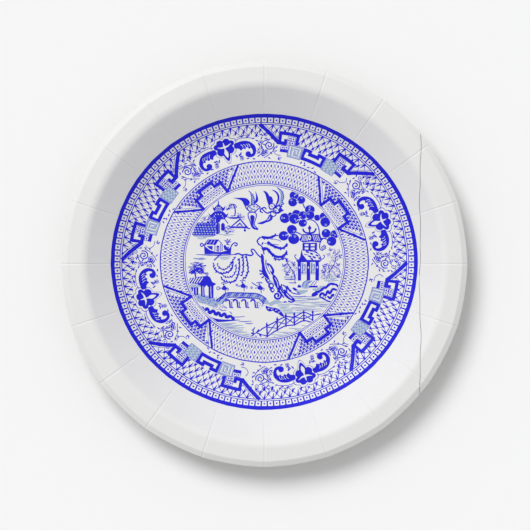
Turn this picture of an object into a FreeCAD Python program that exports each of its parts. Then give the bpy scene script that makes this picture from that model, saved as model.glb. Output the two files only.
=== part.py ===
import FreeCAD, Part
import math
import os

from FreeCAD import Vector

# Driving dimensions, in millimetres and degrees. The origin is the middle of the foot, +Z is up.
PLATE_RADIUS = 114.3        # from the axis to the lip
BOARD_THICKNESS = 0.45      # the pressed paperboard
SHEET_THICKNESS = 0.15      # the printed sheet laminated on its upper side
INK_THICKNESS = 0.10        # the print, drawn thicker than real ink so that it is a sound solid
WELL_RADIUS = 66.0          # flat middle of the plate
WALL_ANGLE = 37.0           # slope of the wall above the horizontal
BASE_BEND = 30.0            # radius of the bend from the well up into the wall
WALL_LENGTH = 18.8          # straight part of the wall, along its slope
SHOULDER_BEND = 7.5         # radius of the bend from the wall over to the flange
FLANGE_DROP = 4.0           # how far the flange falls away outwards
FLANGE_LENGTH = 6.7
LIP_BEND = 1.6              # radius of the bend from the flange down into the lip
LIP_ANGLE = 35.0            # slope of the lip below the horizontal

# Pleats: shallow V folds pressed into the wall, the flange and the lip.
PLEATS = 20
PLEAT_HALF_ANGLE = 0.25
PLEAT_DEPTH = 0.25          # reached at the top of the wall, and kept from there outwards

# The print is a little oval and sits a little off the middle. Its own unit, a reach of 100, is its edge.
PRINT_HALF_WIDTH = 86.4
PRINT_HALF_HEIGHT = 83.4
PRINT_CENTRE = Vector(-0.1, 1.2, 0)
SHEET_TRIM = 87.8           # the sheet's straight trimmed edge, on the +X side
FRET_ANGLES = (24.4, 116.4, 208.0, 297.0)       # clockwise from the top of the print
FLOWER_ANGLES = (70.0, 161.0, 252.3, 341.4)
STEP_ANGLES = (54.5, 143.6, 233.2, 322.5)

TOP = BOARD_THICKNESS + SHEET_THICKNESS     # height of the well's upper face
PANEL_TURN = 360.0 / PLEATS
CORE_START = 58.0           # the panels overlap the middle disc from here
CORE_RADIUS = 62.0          # to here
TALL = 100.0                # more than the plate's height
WIDE = 300.0                # more than the plate's width
SKIN_SEAM = 45.0            # where the skin of ink is joined to itself
UP = Vector(0, 0, 1)
PARTS = "parts"


def sine(degrees):
    return math.sin(math.radians(degrees))


def cosine(degrees):
    return math.cos(math.radians(degrees))


def lip_length():
    """The straight part of the lip, so that it ends at PLATE_RADIUS."""
    reach = WELL_RADIUS + BASE_BEND * sine(WALL_ANGLE) + WALL_LENGTH * cosine(WALL_ANGLE)
    reach += SHOULDER_BEND * (sine(WALL_ANGLE) + sine(FLANGE_DROP)) + FLANGE_LENGTH * cosine(FLANGE_DROP)
    reach += LIP_BEND * (sine(LIP_ANGLE) - sine(FLANGE_DROP))
    return (PLATE_RADIUS - reach) / cosine(LIP_ANGLE)


# The upper surface beyond the well. (length, 0) is straight and (radius, turn) a bend, upwards if positive.
ROUTE = (
    (BASE_BEND, WALL_ANGLE),
    (WALL_LENGTH, 0),
    (SHOULDER_BEND, -WALL_ANGLE - FLANGE_DROP),
    (FLANGE_LENGTH, 0),
    (LIP_BEND, FLANGE_DROP - LIP_ANGLE),
    (lip_length(), 0),
)


def parallel(start, depth, drop=0):
    """Edges depth below the upper surface, from start outwards, let down by drop past the wall."""
    x, z, heading, lowered = WELL_RADIUS, TOP, 0.0, 0.0

    def below(px, pz, direction, down):
        return Vector(px + depth * sine(direction), 0, pz - depth * cosine(direction) - down)

    edges = [Part.LineSegment(below(start, z, 0, 0), below(x, z, 0, 0)).toShape()]
    for size, turn in ROUTE:
        first = edges[-1].lastVertex().Point
        if turn:
            side = math.copysign(1, turn)
            centre_x, centre_z = x - side * size * sine(heading), z + side * size * cosine(heading)
            half_way = heading + turn / 2
            middle_x = centre_x + side * size * sine(half_way)
            middle_z = centre_z - side * size * cosine(half_way)
            heading += turn
            x, z = centre_x + side * size * sine(heading), centre_z - side * size * cosine(heading)
            middle = below(middle_x, middle_z, half_way, lowered)
            edges.append(Part.Arc(first, middle, below(x, z, heading, lowered)).toShape())
        else:
            x, z, lowered = x + size * cosine(heading), z + size * sine(heading), drop
            edges.append(Part.LineSegment(first, below(x, z, heading, lowered)).toShape())
    return edges


def section(start, upper, lower, drop=0):
    """Wire in the XZ plane round what lies between two depths below the upper surface."""
    above, under = parallel(start, upper, drop), parallel(start, lower, drop)
    outer = Part.LineSegment(above[-1].lastVertex().Point, under[-1].lastVertex().Point).toShape()
    inner = Part.LineSegment(under[0].firstVertex().Point, above[0].firstVertex().Point).toShape()
    return Part.Wire(above + [outer] + under[::-1] + [inner])


def turned(shape, angle):
    copy = shape.copy()
    copy.rotate(Vector(), UP, angle)
    return copy


def panel(upper, lower):
    """One panel of the rim, with half a pleat along each side of it."""
    edge = section(CORE_START, upper, lower)
    fold = section(CORE_START, upper, lower, PLEAT_DEPTH)
    near, far = PLEAT_HALF_ANGLE, PANEL_TURN - PLEAT_HALF_ANGLE
    flat = turned(Part.Face(edge), near).revolve(Vector(), UP, far - near)
    first_half = Part.makeLoft([fold, turned(edge, near)], True, True)
    last_half = Part.makeLoft([turned(edge, far), turned(fold, PANEL_TURN)], True, True)
    return flat.multiFuse([first_half, last_half])


def layer(upper, lower):
    """The whole plate between two depths below its upper surface."""
    disc = Part.makeCylinder(CORE_RADIUS, lower - upper, Vector(0, 0, TOP - lower))
    one = panel(upper, lower)
    return disc.multiFuse([turned(one, index * PANEL_TURN) for index in range(PLEATS)])


def board_shell():
    return layer(SHEET_THICKNESS, TOP)


def face_sheet():
    """The printed sheet, trimmed straight on one side."""
    kept = Part.makeBox(WIDE, WIDE, TALL, Vector(SHEET_TRIM - WIDE, -WIDE / 2, -TALL / 2))
    return layer(0, SHEET_THICKNESS).common(kept)


def art(angle, reach):
    """Point of the print: clockwise from its top, and reach hundredths of the way out to its edge."""
    across = PRINT_HALF_WIDTH * reach / 100 * sine(angle)
    along = PRINT_HALF_HEIGHT * reach / 100 * cosine(angle)
    return PRINT_CENTRE + Vector(across, along, 0)


def spot(across, along):
    """Point of the scene in the middle of the print, in the print's unit, right and up from its centre."""
    return PRINT_CENTRE + Vector(PRINT_HALF_WIDTH * across / 100, PRINT_HALF_HEIGHT * along / 100, 0)


def upright(face):
    """The column over a flat outline, which cuts a piece of print out of the skin."""
    return face.extrude(Vector(0, 0, TALL))


def block(first, last, inner, outer):
    """Column between two angles and two reaches."""
    middle = (first + last) / 2
    sides = [
        Part.Arc(art(first, outer), art(middle, outer), art(last, outer)).toShape(),
        Part.LineSegment(art(last, outer), art(last, inner)).toShape(),
        Part.Arc(art(last, inner), art(middle, inner), art(first, inner)).toShape(),
        Part.LineSegment(art(first, inner), art(first, outer)).toShape(),
    ]
    return upright(Part.Face(Part.Wire(sides)))


def outline(points):
    """Column over a many-sided outline."""
    return upright(Part.Face(Part.makePolygon(points + points[:1])))


def bar(start, end, width):
    """Column over a straight stroke, width millimetres broad."""
    along = (end - start).normalize()
    side = Vector(-along.y, along.x, 0) * (width / 2)
    return outline([start + side, end + side, end - side, start - side])


def disc(centre, radius):
    return Part.makeCylinder(radius, TALL, centre)


def ring(inner, outer):
    """Column over an oval band between two reaches."""
    def oval(reach):
        half_width, half_height = PRINT_HALF_WIDTH * reach / 100, PRINT_HALF_HEIGHT * reach / 100
        edge = Part.Ellipse(PRINT_CENTRE, half_width, half_height).toShape()
        return upright(Part.Face(Part.Wire([edge])))
    return oval(outer).cut(oval(inner))


def printed(columns):
    """What is left of the columns within the skin of ink on the sheet, whose seam lies clear of theirs."""
    skin = turned(Part.Face(section(0, -INK_THICKNESS, 0)).revolve(Vector(), UP, 360), SKIN_SEAM)
    joined = columns[0].multiFuse(columns[1:]) if len(columns) > 1 else columns[0]
    return skin.common(joined)


def mirrored(centre, first, last, inner, outer):
    """The same block on both sides of a panel's middle line."""
    return [
        block(centre + first, centre + last, inner, outer),
        block(centre - last, centre - first, inner, outer),
    ]


def fret_panel(centre):
    """The bold blue key pattern of one panel: a middle key, a hook on each side, and its slanting ends."""
    columns = [
        block(centre - 5.6, centre + 5.6, 73.4, 75.6),
        block(centre - 2.8, centre + 2.8, 77.2, 80.2),
    ]
    columns += mirrored(centre, 4.2, 5.6, 73.4, 81.5)
    columns += mirrored(centre, 1.4, 5.6, 79.3, 81.5)
    columns += mirrored(centre, 8.9, 10.3, 81.5, 89.2)
    columns += mirrored(centre, 8.9, 18.1, 87.0, 89.2)
    columns += mirrored(centre, 16.7, 18.1, 80.2, 89.2)
    columns += mirrored(centre, 14.1, 18.1, 80.2, 82.8)
    columns += mirrored(centre, 14.1, 15.5, 80.2, 84.4)
    columns += mirrored(centre, 13.0, 16.7, 75.4, 77.1)
    for side in (1, -1):
        columns.append(bar(art(centre + side * 17.6, 81.2), art(centre + side * 25.8, 93.0), 2.0))
    return columns


def flower_panel(centre):
    """One rosette of six lobes, with a scroll that ends in a ball on each side."""
    columns = [disc(art(centre + angle, reach), radius) for angle, reach, radius in LOBES]
    columns += mirrored(centre, 6.5, 15.0, 83.6, 86.0)
    columns += mirrored(centre, 13.4, 15.0, 75.0, 84.0)
    for side in (1, -1):
        columns.append(disc(art(centre + side * 10.6, 75.6), 1.7))
    return columns


def step_panel(centre):
    """The stepped frame of one cartouche, with its slanting ends."""
    columns = [block(centre - 5.9, centre + 5.9, 62.6, 64.8)]
    columns += mirrored(centre, 4.5, 5.9, 58.8, 64.8)
    columns += mirrored(centre, 4.5, 10.7, 58.8, 61.0)
    columns += mirrored(centre, 9.2, 10.7, 53.1, 61.0)
    for side in (1, -1):
        columns.append(bar(art(centre + side * 10.6, 54.0), art(centre + side * 22.0, 68.2), 1.8))
    return columns


def pale_blocks(centre):
    return mirrored(centre, 5.9, 12.8, 73.0, 81.3)


# Round lobes that make up a rosette: degrees from its middle line, reach, and radius in millimetres.
LOBES = (
    (0, 80.0, 3.6), (-2.0, 84.5, 2.6), (2.0, 84.5, 2.6), (-3.4, 80.5, 2.4), (3.4, 80.5, 2.4), (0, 75.5, 2.6),
)

# Round fruits of the tree: right and up from the print's centre, and radius in millimetres.
FRUITS = (
    (19.5, 45.2, 2.3), (24.6, 42.0, 2.1), (18.6, 39.9, 2.3), (30.2, 35.2, 2.2), (29.9, 31.3, 2.1),
    (25.8, 31.3, 2.2), (21.2, 32.3, 1.9), (19.6, 29.2, 2.4), (13.2, 29.5, 2.3), (25.4, 26.7, 2.1),
    (34.5, 30.2, 1.4), (39.1, 30.6, 2.0), (40.0, 26.6, 2.4), (18.1, 21.9, 2.4), (12.6, 17.7, 2.4),
    (19.3, 15.6, 2.7), (40.6, 19.3, 2.2), (46.2, 18.6, 2.2), (44.2, 14.0, 2.4),
)

# Bold shapes of the scene, each an outline in the print's unit.
BOLD_SHAPES = {
    "boat": (
        (-39.0, 10.4), (-39.0, 5.2), (-22.0, 5.2), (-21.6, 10.4), (-25.0, 7.2), (-30.5, 6.4), (-36.0, 7.4),
    ),
    "boat_roof": ((-39.2, 12.0), (-37.0, 14.8), (-30.4, 15.0), (-32.4, 12.0)),
    "teahouse_roof": (
        (-42.6, -15.6), (-39.7, -9.7), (-37.8, -7.6), (-34.9, -10.4), (-33.7, -14.2), (-32.7, -15.6),
    ),
    "gate_roof": ((-34.5, 37.0), (-32.6, 39.2), (-27.4, 39.2), (-25.5, 37.0), (-27.6, 34.4), (-31.4, 34.4)),
    "brick_bank": ((-46.4, 18.8), (-44.8, 24.0), (-42.6, 26.6), (-39.4, 24.8), (-31.2, 22.4), (-31.2, 18.8)),
    "left_wing": (
        (-19.8, 43.2), (-15.0, 43.3), (-11.4, 42.6), (-9.6, 39.8), (-11.2, 37.9), (-13.4, 40.6), (-16.4, 42.4),
    ),
    "left_tail": ((-9.3, 32.0), (-6.4, 32.2), (-7.2, 25.4), (-9.2, 25.4)),
    "right_wing": ((1.2, 46.0), (2.6, 47.2), (5.2, 43.4), (5.0, 39.0), (2.4, 37.8)),
    "right_tail": ((-1.4, 26.2), (1.6, 26.0), (4.2, 29.6), (2.6, 31.2)),
    "bank_point": ((-35.2, -37.4), (-32.0, -37.0), (-24.6, -38.8), (-17.4, -39.6), (-31.0, -40.0)),
    "islet": ((31.4, -23.0), (38.4, -18.2), (44.6, -14.6), (49.2, -16.6), (45.6, -22.0), (41.6, -25.8)),
}

# Strokes of the scene: width in millimetres, then the points that they join.
STROKES = {
    "column_left": (1.7, ((22.9, 1.0), (22.9, -12.4))),
    "column_middle": (1.8, ((28.8, 1.0), (28.8, -12.4))),
    "column_right": (1.8, ((34.7, 1.0), (34.7, -12.4))),
    "teahouse_post_left": (1.3, ((-40.3, -15.4), (-40.3, -23.2))),
    "teahouse_post_right": (1.8, ((-35.3, -15.4), (-35.3, -24.4))),
    "teahouse_post_end": (1.6, ((-44.5, -17.2), (-44.5, -22.3))),
    "bridge_rise": (1.6, ((-31.0, -26.2), (-24.2, -22.2))),
    "bridge_deck": (1.6, ((-24.2, -22.2), (-4.0, -22.2))),
    "bridge_fall": (1.6, ((-4.0, -22.2), (2.6, -27.4))),
    "willow_top": (1.4, ((-1.0, 2.4), (0.8, -4.0))),
    "willow_middle": (1.6, ((0.8, -4.0), (6.2, -10.6))),
    "willow_foot": (1.6, ((6.2, -10.6), (10.0, -17.4))),
    "willow_root": (1.4, ((14.4, -20.0), (19.0, -25.6))),
    "bank_edge": (1.6, ((1.6, -31.0), (12.0, -35.6))),
}


def scene():
    """The bold parts of the scene: fruit tree, birds, boat, buildings, bridge, willow and rocks."""
    columns = [disc(spot(across, along), radius) for across, along, radius in FRUITS]
    columns += [outline([spot(*point) for point in points]) for points in BOLD_SHAPES.values()]
    columns += [bar(spot(*first), spot(*last), width) for width, (first, last) in STROKES.values()]
    return columns


def four(make, angles):
    """The columns of a motif that comes four times round the print."""
    return [column for angle in angles for column in make(angle)]


def save(name, shape):
    """Writes one node, and says what it holds."""
    solids = Part.makeCompound(shape.Solids) if len(shape.Solids) > 1 else shape.Solids[0]
    box = solids.BoundBox
    print(f"{name}: {len(shape.Solids)} solids, {len(shape.Faces)} faces, valid {solids.isValid()}, "
          f"{solids.Volume:.1f} mm3, X {box.XMin:.2f} {box.XMax:.2f}, Z {box.ZMin:.2f} {box.ZMax:.2f}")
    solids.exportStep(os.path.join(PARTS, name + ".step"))


def main():
    os.makedirs(PARTS, exist_ok=True)
    save("board_shell", board_shell())
    save("face_sheet", face_sheet())
    save("ink_outer_ring", printed([ring(98.1, 100)]))
    save("ink_border_lines", printed([ring(93.6, 94.2), ring(92.6, 93.1)]))
    save("ink_fret_panels", printed(four(fret_panel, FRET_ANGLES)))
    save("ink_pale_blocks", printed(four(pale_blocks, FRET_ANGLES)))
    save("ink_flower_panels", printed(four(flower_panel, FLOWER_ANGLES)))
    save("ink_step_panels", printed(four(step_panel, STEP_ANGLES)))
    save("ink_lattice_lines", printed([ring(68.0, 68.5), ring(52.8, 53.3), ring(51.7, 52.1)]))
    save("ink_scene", printed(scene()))


main()
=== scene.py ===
"""A pressed paper dinner plate with a blue chinoiserie print, drawn on it in code as thin layers of ink."""

import math
import random

import bmesh
import bpy
import numpy as np
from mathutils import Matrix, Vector, noise
from mathutils.geometry import delaunay_2d_cdt


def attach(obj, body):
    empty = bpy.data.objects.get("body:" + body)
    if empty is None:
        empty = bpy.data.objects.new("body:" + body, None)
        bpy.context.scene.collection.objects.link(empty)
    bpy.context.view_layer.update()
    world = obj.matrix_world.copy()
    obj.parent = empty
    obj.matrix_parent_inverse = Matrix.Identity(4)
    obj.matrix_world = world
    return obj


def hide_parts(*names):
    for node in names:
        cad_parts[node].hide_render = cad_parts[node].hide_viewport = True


MM = 0.001

# The plate, in millimetres and degrees, as the CAD part has it.
WELL_RADIUS = 66.0
MIDDLE = 40.0               # radius of the one flat face in the middle of the well
SHEET = 0.15
BOARD = 0.45
TOP = SHEET + BOARD
WALL_START = 84.05          # radius where the base's bend ends and the straight wall begins
FOLDED_FROM = 91.0          # from here outwards the pleats have their full depth
# The section from the well outwards, as straights (length, 0) and bends (radius, turn).
ROUTE = ((30.0, 37.0), (18.8, 0), (7.5, -41.0), (6.7, 0), (1.6, -31.0))
LIP_RADIUS = 114.3
LIP_SLOPE = 35.0
PLEATS = 20
PANEL_TURN = 360 / PLEATS
PLEAT_DEPTH = 0.25
PLEAT_HALF_ANGLE = 0.25
FLATTENING = 0.30           # how far a panel's middle is pulled in at the lip, between two pleats
SHEET_TRIM = 87.8
CUT_BEVEL = 0.24            # width of the slope on the face sheet's trimmed edge
CUT_WAVER = 0.3             # how far that edge strays from the straight line
SHARP_EDGE = 35             # edges that turn by more degrees than this are shaded sharp

# The print: a hundredth of its half width and half height, the mean of the two for line widths, its centre,
# and the height that the ink stands above the sheet.
PRINT_X, PRINT_Y = 0.864, 0.834
UNIT = 0.849
PRINT_CENTRE = Vector((-0.1, 1.2))
INK_LIFT = 0.03
BLUE, PALE, PAPER = "blue", "pale", "paper"

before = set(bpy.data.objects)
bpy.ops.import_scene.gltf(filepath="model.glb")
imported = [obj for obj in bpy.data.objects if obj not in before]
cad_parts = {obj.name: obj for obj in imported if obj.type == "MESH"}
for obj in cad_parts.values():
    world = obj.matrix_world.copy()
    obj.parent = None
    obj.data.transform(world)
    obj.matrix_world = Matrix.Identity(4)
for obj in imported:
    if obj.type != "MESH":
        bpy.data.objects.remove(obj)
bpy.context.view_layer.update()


# ---- The plate's surface

def profile(depth):
    """Points (radius, height) of the surface at a depth below the upper one, from the well outwards."""
    x, z, heading = WELL_RADIUS, TOP, 0.0
    points = []

    def add():
        slope = math.radians(heading)
        points.append((x + depth * math.sin(slope), z - depth * math.cos(slope)))

    def forward(length):
        nonlocal x, z
        x += length * math.cos(math.radians(heading))
        z += length * math.sin(math.radians(heading))

    add()
    for size, turn in ROUTE:
        steps = max(4, round(abs(turn) / 1.5)) if turn else round(size / 1.2)
        chord = 2 * size * math.sin(math.radians(abs(turn)) / steps / 2) if turn else size / steps
        for _ in range(steps):
            heading += turn / steps / 2
            forward(chord)
            heading += turn / steps / 2
            add()
    rest = (LIP_RADIUS - x) / math.cos(math.radians(LIP_SLOPE))
    for _ in range(3):
        forward(rest / 3)
        add()
    return points


UPPER = profile(0)


def ramp(value, low, high):
    return min(1.0, max(0.0, (value - low) / (high - low)))


def height(x, y):
    """Height of the sheet's upper face over a point of the plan, without its pleats."""
    radius = math.hypot(x, y)
    if radius <= WELL_RADIUS:
        return TOP
    for (inner, low), (outer, high) in zip(UPPER, UPPER[1:]):
        if radius <= outer:
            return low + (high - low) * ramp(radius, inner, outer)
    return UPPER[-1][1]


def panel_angles():
    """Angles across one panel, from one pleat's bottom to the next one's, closest beside the pleats."""
    edge = [0, PLEAT_HALF_ANGLE / 2, PLEAT_HALF_ANGLE, 2 * PLEAT_HALF_ANGLE, 1.0]
    middle = [1.0 + (PANEL_TURN - 2.0) * step / 14 for step in range(1, 14)]
    return edge + middle + [PANEL_TURN - angle for angle in edge[:0:-1]]


def pressed(radius, level, angle, within):
    """The place of a profile's point at an angle, flattened between the pleats and folded in at them."""
    from_middle = 2 * within / PANEL_TURN - 1
    pulled = FLATTENING * (1 - from_middle ** 2) * ramp(radius, WALL_START, LIP_RADIUS)
    from_pleat = min(within, PANEL_TURN - within)
    fold = 1 - ramp(from_pleat, 0, PLEAT_HALF_ANGLE)
    level -= PLEAT_DEPTH * fold * ramp(radius, WALL_START, FOLDED_FROM)
    radius -= pulled
    return Vector((radius * math.cos(angle), radius * math.sin(angle), level)) * MM


def shell(name, upper, lower):
    """Closed mesh of one layer of the plate, between two depths below its upper face."""
    section = [(MIDDLE, TOP - upper)] + profile(upper) + profile(lower)[::-1] + [(MIDDLE, TOP - lower)]
    columns = []
    for panel in range(PLEATS):
        for within in panel_angles():
            columns.append((math.radians(panel * 360 / PLEATS + within), within))
    points = [pressed(*point, *column) for point in section for column in columns]
    across, along = len(columns), len(section)
    faces = []
    for first in range(0, (along - 1) * across, across):
        for column in range(across):
            beside = (column + 1) % across
            faces.append((first + column, first + across + column, first + across + beside, first + beside))
    faces.append(tuple(range(across)))
    faces.append(tuple(range(along * across - 1, (along - 1) * across - 1, -1)))
    mesh = bpy.data.meshes.new(name)
    mesh.from_pydata(points, [], faces)
    return mesh


def trimmed(mesh, limit):
    """Cuts a closed mesh off at x = limit, closes the cut, bevels its upper edge and lets the edge waver."""
    bevel = limit - CUT_BEVEL
    work = bmesh.new()
    work.from_mesh(mesh)
    edges = [part for part in split(work, limit, True) if isinstance(part, bmesh.types.BMEdge)]
    rim = [vert for vert in work.verts if vert.co.x > (limit - 0.001) * MM]
    upper = [vert for vert in rim if any(face.normal.z > 0.2 for face in vert.link_faces)]
    bmesh.ops.triangle_fill(work, edges=edges, use_beauty=True, normal=(1, 0, 0))
    split(work, bevel, False)
    for vert in upper:
        vert.co.z -= 0.8 * SHEET * MM
    for face in work.faces:
        # The bevel's slope and the cut face take the second material, painted near black as the shade that
        # falls on the step where the sheet ends.
        face.material_index = int(face.calc_center_median().x > bevel * MM)
    for vert in work.verts:
        if vert.co.x > (limit - 1.01 * CUT_BEVEL) * MM:
            waver(vert)
    work.to_mesh(mesh)
    work.free()


def split(work, x, clear):
    """Cuts a mesh along a plane, may clear what lies beyond it, and gives the parts on the cut."""
    parts = work.verts[:] + work.edges[:] + work.faces[:]
    place, along = (x * MM, 0, 0), (1, 0, 0)
    cut = bmesh.ops.bisect_plane(work, geom=parts, plane_co=place, plane_no=along, clear_outer=clear)
    return cut["geom_cut"]


def waver(vert):
    """Shifts a vertex of the trimmed edge sideways on the plate's surface."""
    x, y = vert.co.x / MM, vert.co.y / MM
    moved = x + CUT_WAVER * (math.sin(y / 8.5) + 0.6 * math.sin(y / 3.4 + 1))
    vert.co.x = moved * MM
    vert.co.z += (height(moved, y) - height(x, y)) * MM


def add_piece(name, mesh, material, slot, *nodes, smooth=True):
    """Makes one piece of the plate that stands for CAD nodes."""
    mesh.materials.append(material)
    mesh.validate()
    if smooth:
        mesh.shade_smooth()
        mesh.set_sharp_from_angle(angle=math.radians(SHARP_EDGE))
    piece = bpy.data.objects.new(name, mesh)
    bpy.context.collection.objects.link(piece)
    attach(piece, "root")
    if nodes:
        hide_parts(*nodes)
    return piece


# ---- Materials

def add_node(tree, kind, **values):
    """A shader node with some inputs set, named as in the shader but with _ for a space."""
    node = tree.nodes.new(kind)
    for name, value in values.items():
        node.inputs[name.replace("_", " ")].default_value = value
    return node


def paper_material(name, light, dark, roughness, grain, bump, specular=0.25):
    """Paper, or ink on it: two tones in a soft mottle, and a fine fibre grain in roughness and bump."""
    material = bpy.data.materials.new(name)
    material.use_nodes = True
    tree = material.node_tree
    shader = tree.nodes["Principled BSDF"]
    shader.inputs["Specular IOR Level"].default_value = specular
    place = add_node(tree, "ShaderNodeTexCoord")
    mottle = add_node(tree, "ShaderNodeTexNoise", Scale=90, Detail=4)
    fibre = add_node(tree, "ShaderNodeTexNoise", Scale=grain, Detail=6, Distortion=0.6)
    gloss = add_node(tree, "ShaderNodeMapRange", To_Min=roughness - 0.06, To_Max=roughness + 0.06)
    relief = add_node(tree, "ShaderNodeBump", Strength=bump, Distance=0.00004)
    tone = add_node(tree, "ShaderNodeMix")
    tone.data_type = "RGBA"
    factor, first_tone, second_tone, mixed = 0, 6, 7, 2
    tone.inputs[first_tone].default_value = (*light, 1)
    tone.inputs[second_tone].default_value = (*dark, 1)
    for start, out, end, into in (
        (place, "Object", mottle, "Vector"),
        (place, "Object", fibre, "Vector"),
        (mottle, "Fac", tone, factor),
        (tone, mixed, shader, "Base Color"),
        (fibre, "Fac", gloss, "Value"),
        (gloss, "Result", shader, "Roughness"),
        (fibre, "Fac", relief, "Height"),
        (relief, "Normal", shader, "Normal"),
    ):
        tree.links.new(start.outputs[out], end.inputs[into])
    return material


COATED = paper_material("coated_paper", (0.824, 0.821, 0.816), (0.794, 0.792, 0.789), 0.55, 1500, 0.25)
BARE = paper_material("bare_board", (0.76, 0.75, 0.72), (0.68, 0.67, 0.64), 0.85, 900, 0.8)
# Painted shade: the face sheet's trimmed edge and its slope are coloured near black for the shade on the
# step where the sheet ends, not in the paper's own colour.
CUT_EDGE_SHADE = paper_material("cut_edge_painted_shade", (0.13, 0.13, 0.135), (0.09, 0.09, 0.095), 0.9, 900, 0.4)
INKS = {
    BLUE: paper_material("blue_ink", (0.019, 0.018, 0.70), (0.013, 0.013, 0.58), 0.5, 1500, 0.25, 0.15),
    PALE: paper_material("pale_ink", (0.40, 0.50, 0.66), (0.34, 0.44, 0.62), 0.5, 1500, 0.25),
}


def make_plate():
    board = shell("board_shell_pressed", SHEET, TOP)
    piece = add_piece("board_shell_pressed", board, COATED, "board", "board_shell")
    piece.data.materials.append(BARE)
    for face in piece.data.polygons:
        face.material_index = 1 if face.normal.z < -0.05 else 0
    sheet = shell("face_sheet_printed", 0, SHEET)
    trimmed(sheet, SHEET_TRIM)
    piece = add_piece("face_sheet_printed", sheet, COATED, "sheet", "face_sheet")
    piece.data.materials.append(CUT_EDGE_SHADE)


make_plate()


# ---- Drawing the print

class Drawing:
    """Flat shapes painted one over another on the plan, then cut into triangles of one ink each."""

    def __init__(self):
        self.outlines, self.layers, self.loose = [], [], []

    def fill(self, outline, layer):
        self.outlines.append(np.array(outline))
        self.layers.append(layer)

    def support(self, inner, outer, spacing):
        """Loose points that keep the triangles small where the sheet under them is curved."""
        for row in range(round((outer - inner) / spacing) + 1):
            radius = inner + row * spacing
            around = round(math.tau * radius / spacing)
            for step in range(around):
                angle = math.tau * (step + row % 2 / 2) / around
                self.loose.append((radius * math.cos(angle), radius * math.sin(angle)))

    def triangulated(self):
        """The plan cut along every outline: its points, and its triangles."""
        edges, first = [], 0
        for outline in self.outlines:
            count = len(outline)
            edges += [(first + corner, first + (corner + 1) % count) for corner in range(count)]
            first += count
        points = np.concatenate(self.outlines + [np.array(self.loose)] if self.loose else self.outlines)
        cut = delaunay_2d_cdt([Vector(point) for point in points], edges, [], 0, 1e-5)
        return np.array(cut[0]), np.array(cut[2])

    def topmost(self, middles):
        """For every point, the number of the last outline painted over it, or -1."""
        order = np.argsort(middles[:, 0])
        sorted_x = middles[order, 0]
        owner = np.full(len(middles), -1)
        for number, outline in enumerate(self.outlines):
            low, high = outline.min(axis=0), outline.max(axis=0)
            near = order[slice(*np.searchsorted(sorted_x, (low[0], high[0])))]
            near = near[(middles[near, 1] >= low[1]) & (middles[near, 1] <= high[1])]
            x, y = middles[near].T
            start_x, start_y = outline[:, :1], outline[:, 1:]
            run = np.roll(outline, -1, axis=0) - outline
            spans = (start_y > y) != (start_y + run[:, 1:] > y)
            level = np.where(run[:, 1:] == 0, 1, run[:, 1:])
            crossed = spans & (x < start_x + run[:, :1] * (y - start_y) / level)
            owner[near[crossed.sum(axis=0) % 2 == 1]] = number
        return owner

    def pieces(self):
        """{layer: (points, triangles)} for what shows of every layer but the bare paper."""
        points, triangles = self.triangulated()
        owner = self.topmost(points[triangles].mean(axis=1))
        names = sorted({layer for layer in self.layers if layer[1] != PAPER})
        number = {layer: index for index, layer in enumerate(names)}
        ink = np.array([number.get(layer, -1) for layer in self.layers] + [-1])[owner]
        shown = {}
        for layer in names:
            own = triangles[ink == number[layer]]
            used, corners = np.unique(own, return_inverse=True)
            shown[layer] = (points[used].tolist(), corners.reshape(-1, 3).tolist())
        return shown


def curved(points, closed=False, steps=6):
    """Smooth line through points."""
    count = len(points)
    runs = count if closed else count - 1
    line = []
    for run in range(runs):
        if closed:
            near = [points[(run + shift) % count] for shift in (-1, 0, 1, 2)]
        else:
            near = [points[max(run - 1, 0)], points[run], points[run + 1], points[min(run + 2, count - 1)]]
        for step in range(steps):
            line.append(tuple(between(*values, step / steps) for values in zip(*near)))
    return line if closed else line + [tuple(points[-1])]


def between(a, b, c, d, t):
    """The value a part t of the way from b to c, on the smooth curve through all four."""
    square, cube = 2 * a - 5 * b + 4 * c - d, 3 * b - a - 3 * c + d
    return 0.5 * (2 * b + (c - a) * t + square * t ** 2 + cube * t ** 3)


def divided(points, closed=False, longest=1.6):
    """Straight runs cut into short steps, so that they bend with the map they are drawn through."""
    ends = points[1:] + points[:1] if closed else points[1:]
    line = []
    for start, end in zip(points, ends):
        steps = max(1, math.ceil(math.dist(start, end) / longest))
        line += [tuple(a + (b - a) * step / steps for a, b in zip(start, end)) for step in range(steps)]
    return line if closed else line + [tuple(points[-1])]


def unsteady(point):
    """Moves a point of the plan a little, as a hand would."""
    drift = noise.noise_vector(Vector((point[0] * 0.22, point[1] * 0.22, 3.0)))
    return Vector((point[0] + 0.16 * drift.x, point[1] + 0.16 * drift.y))


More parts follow.
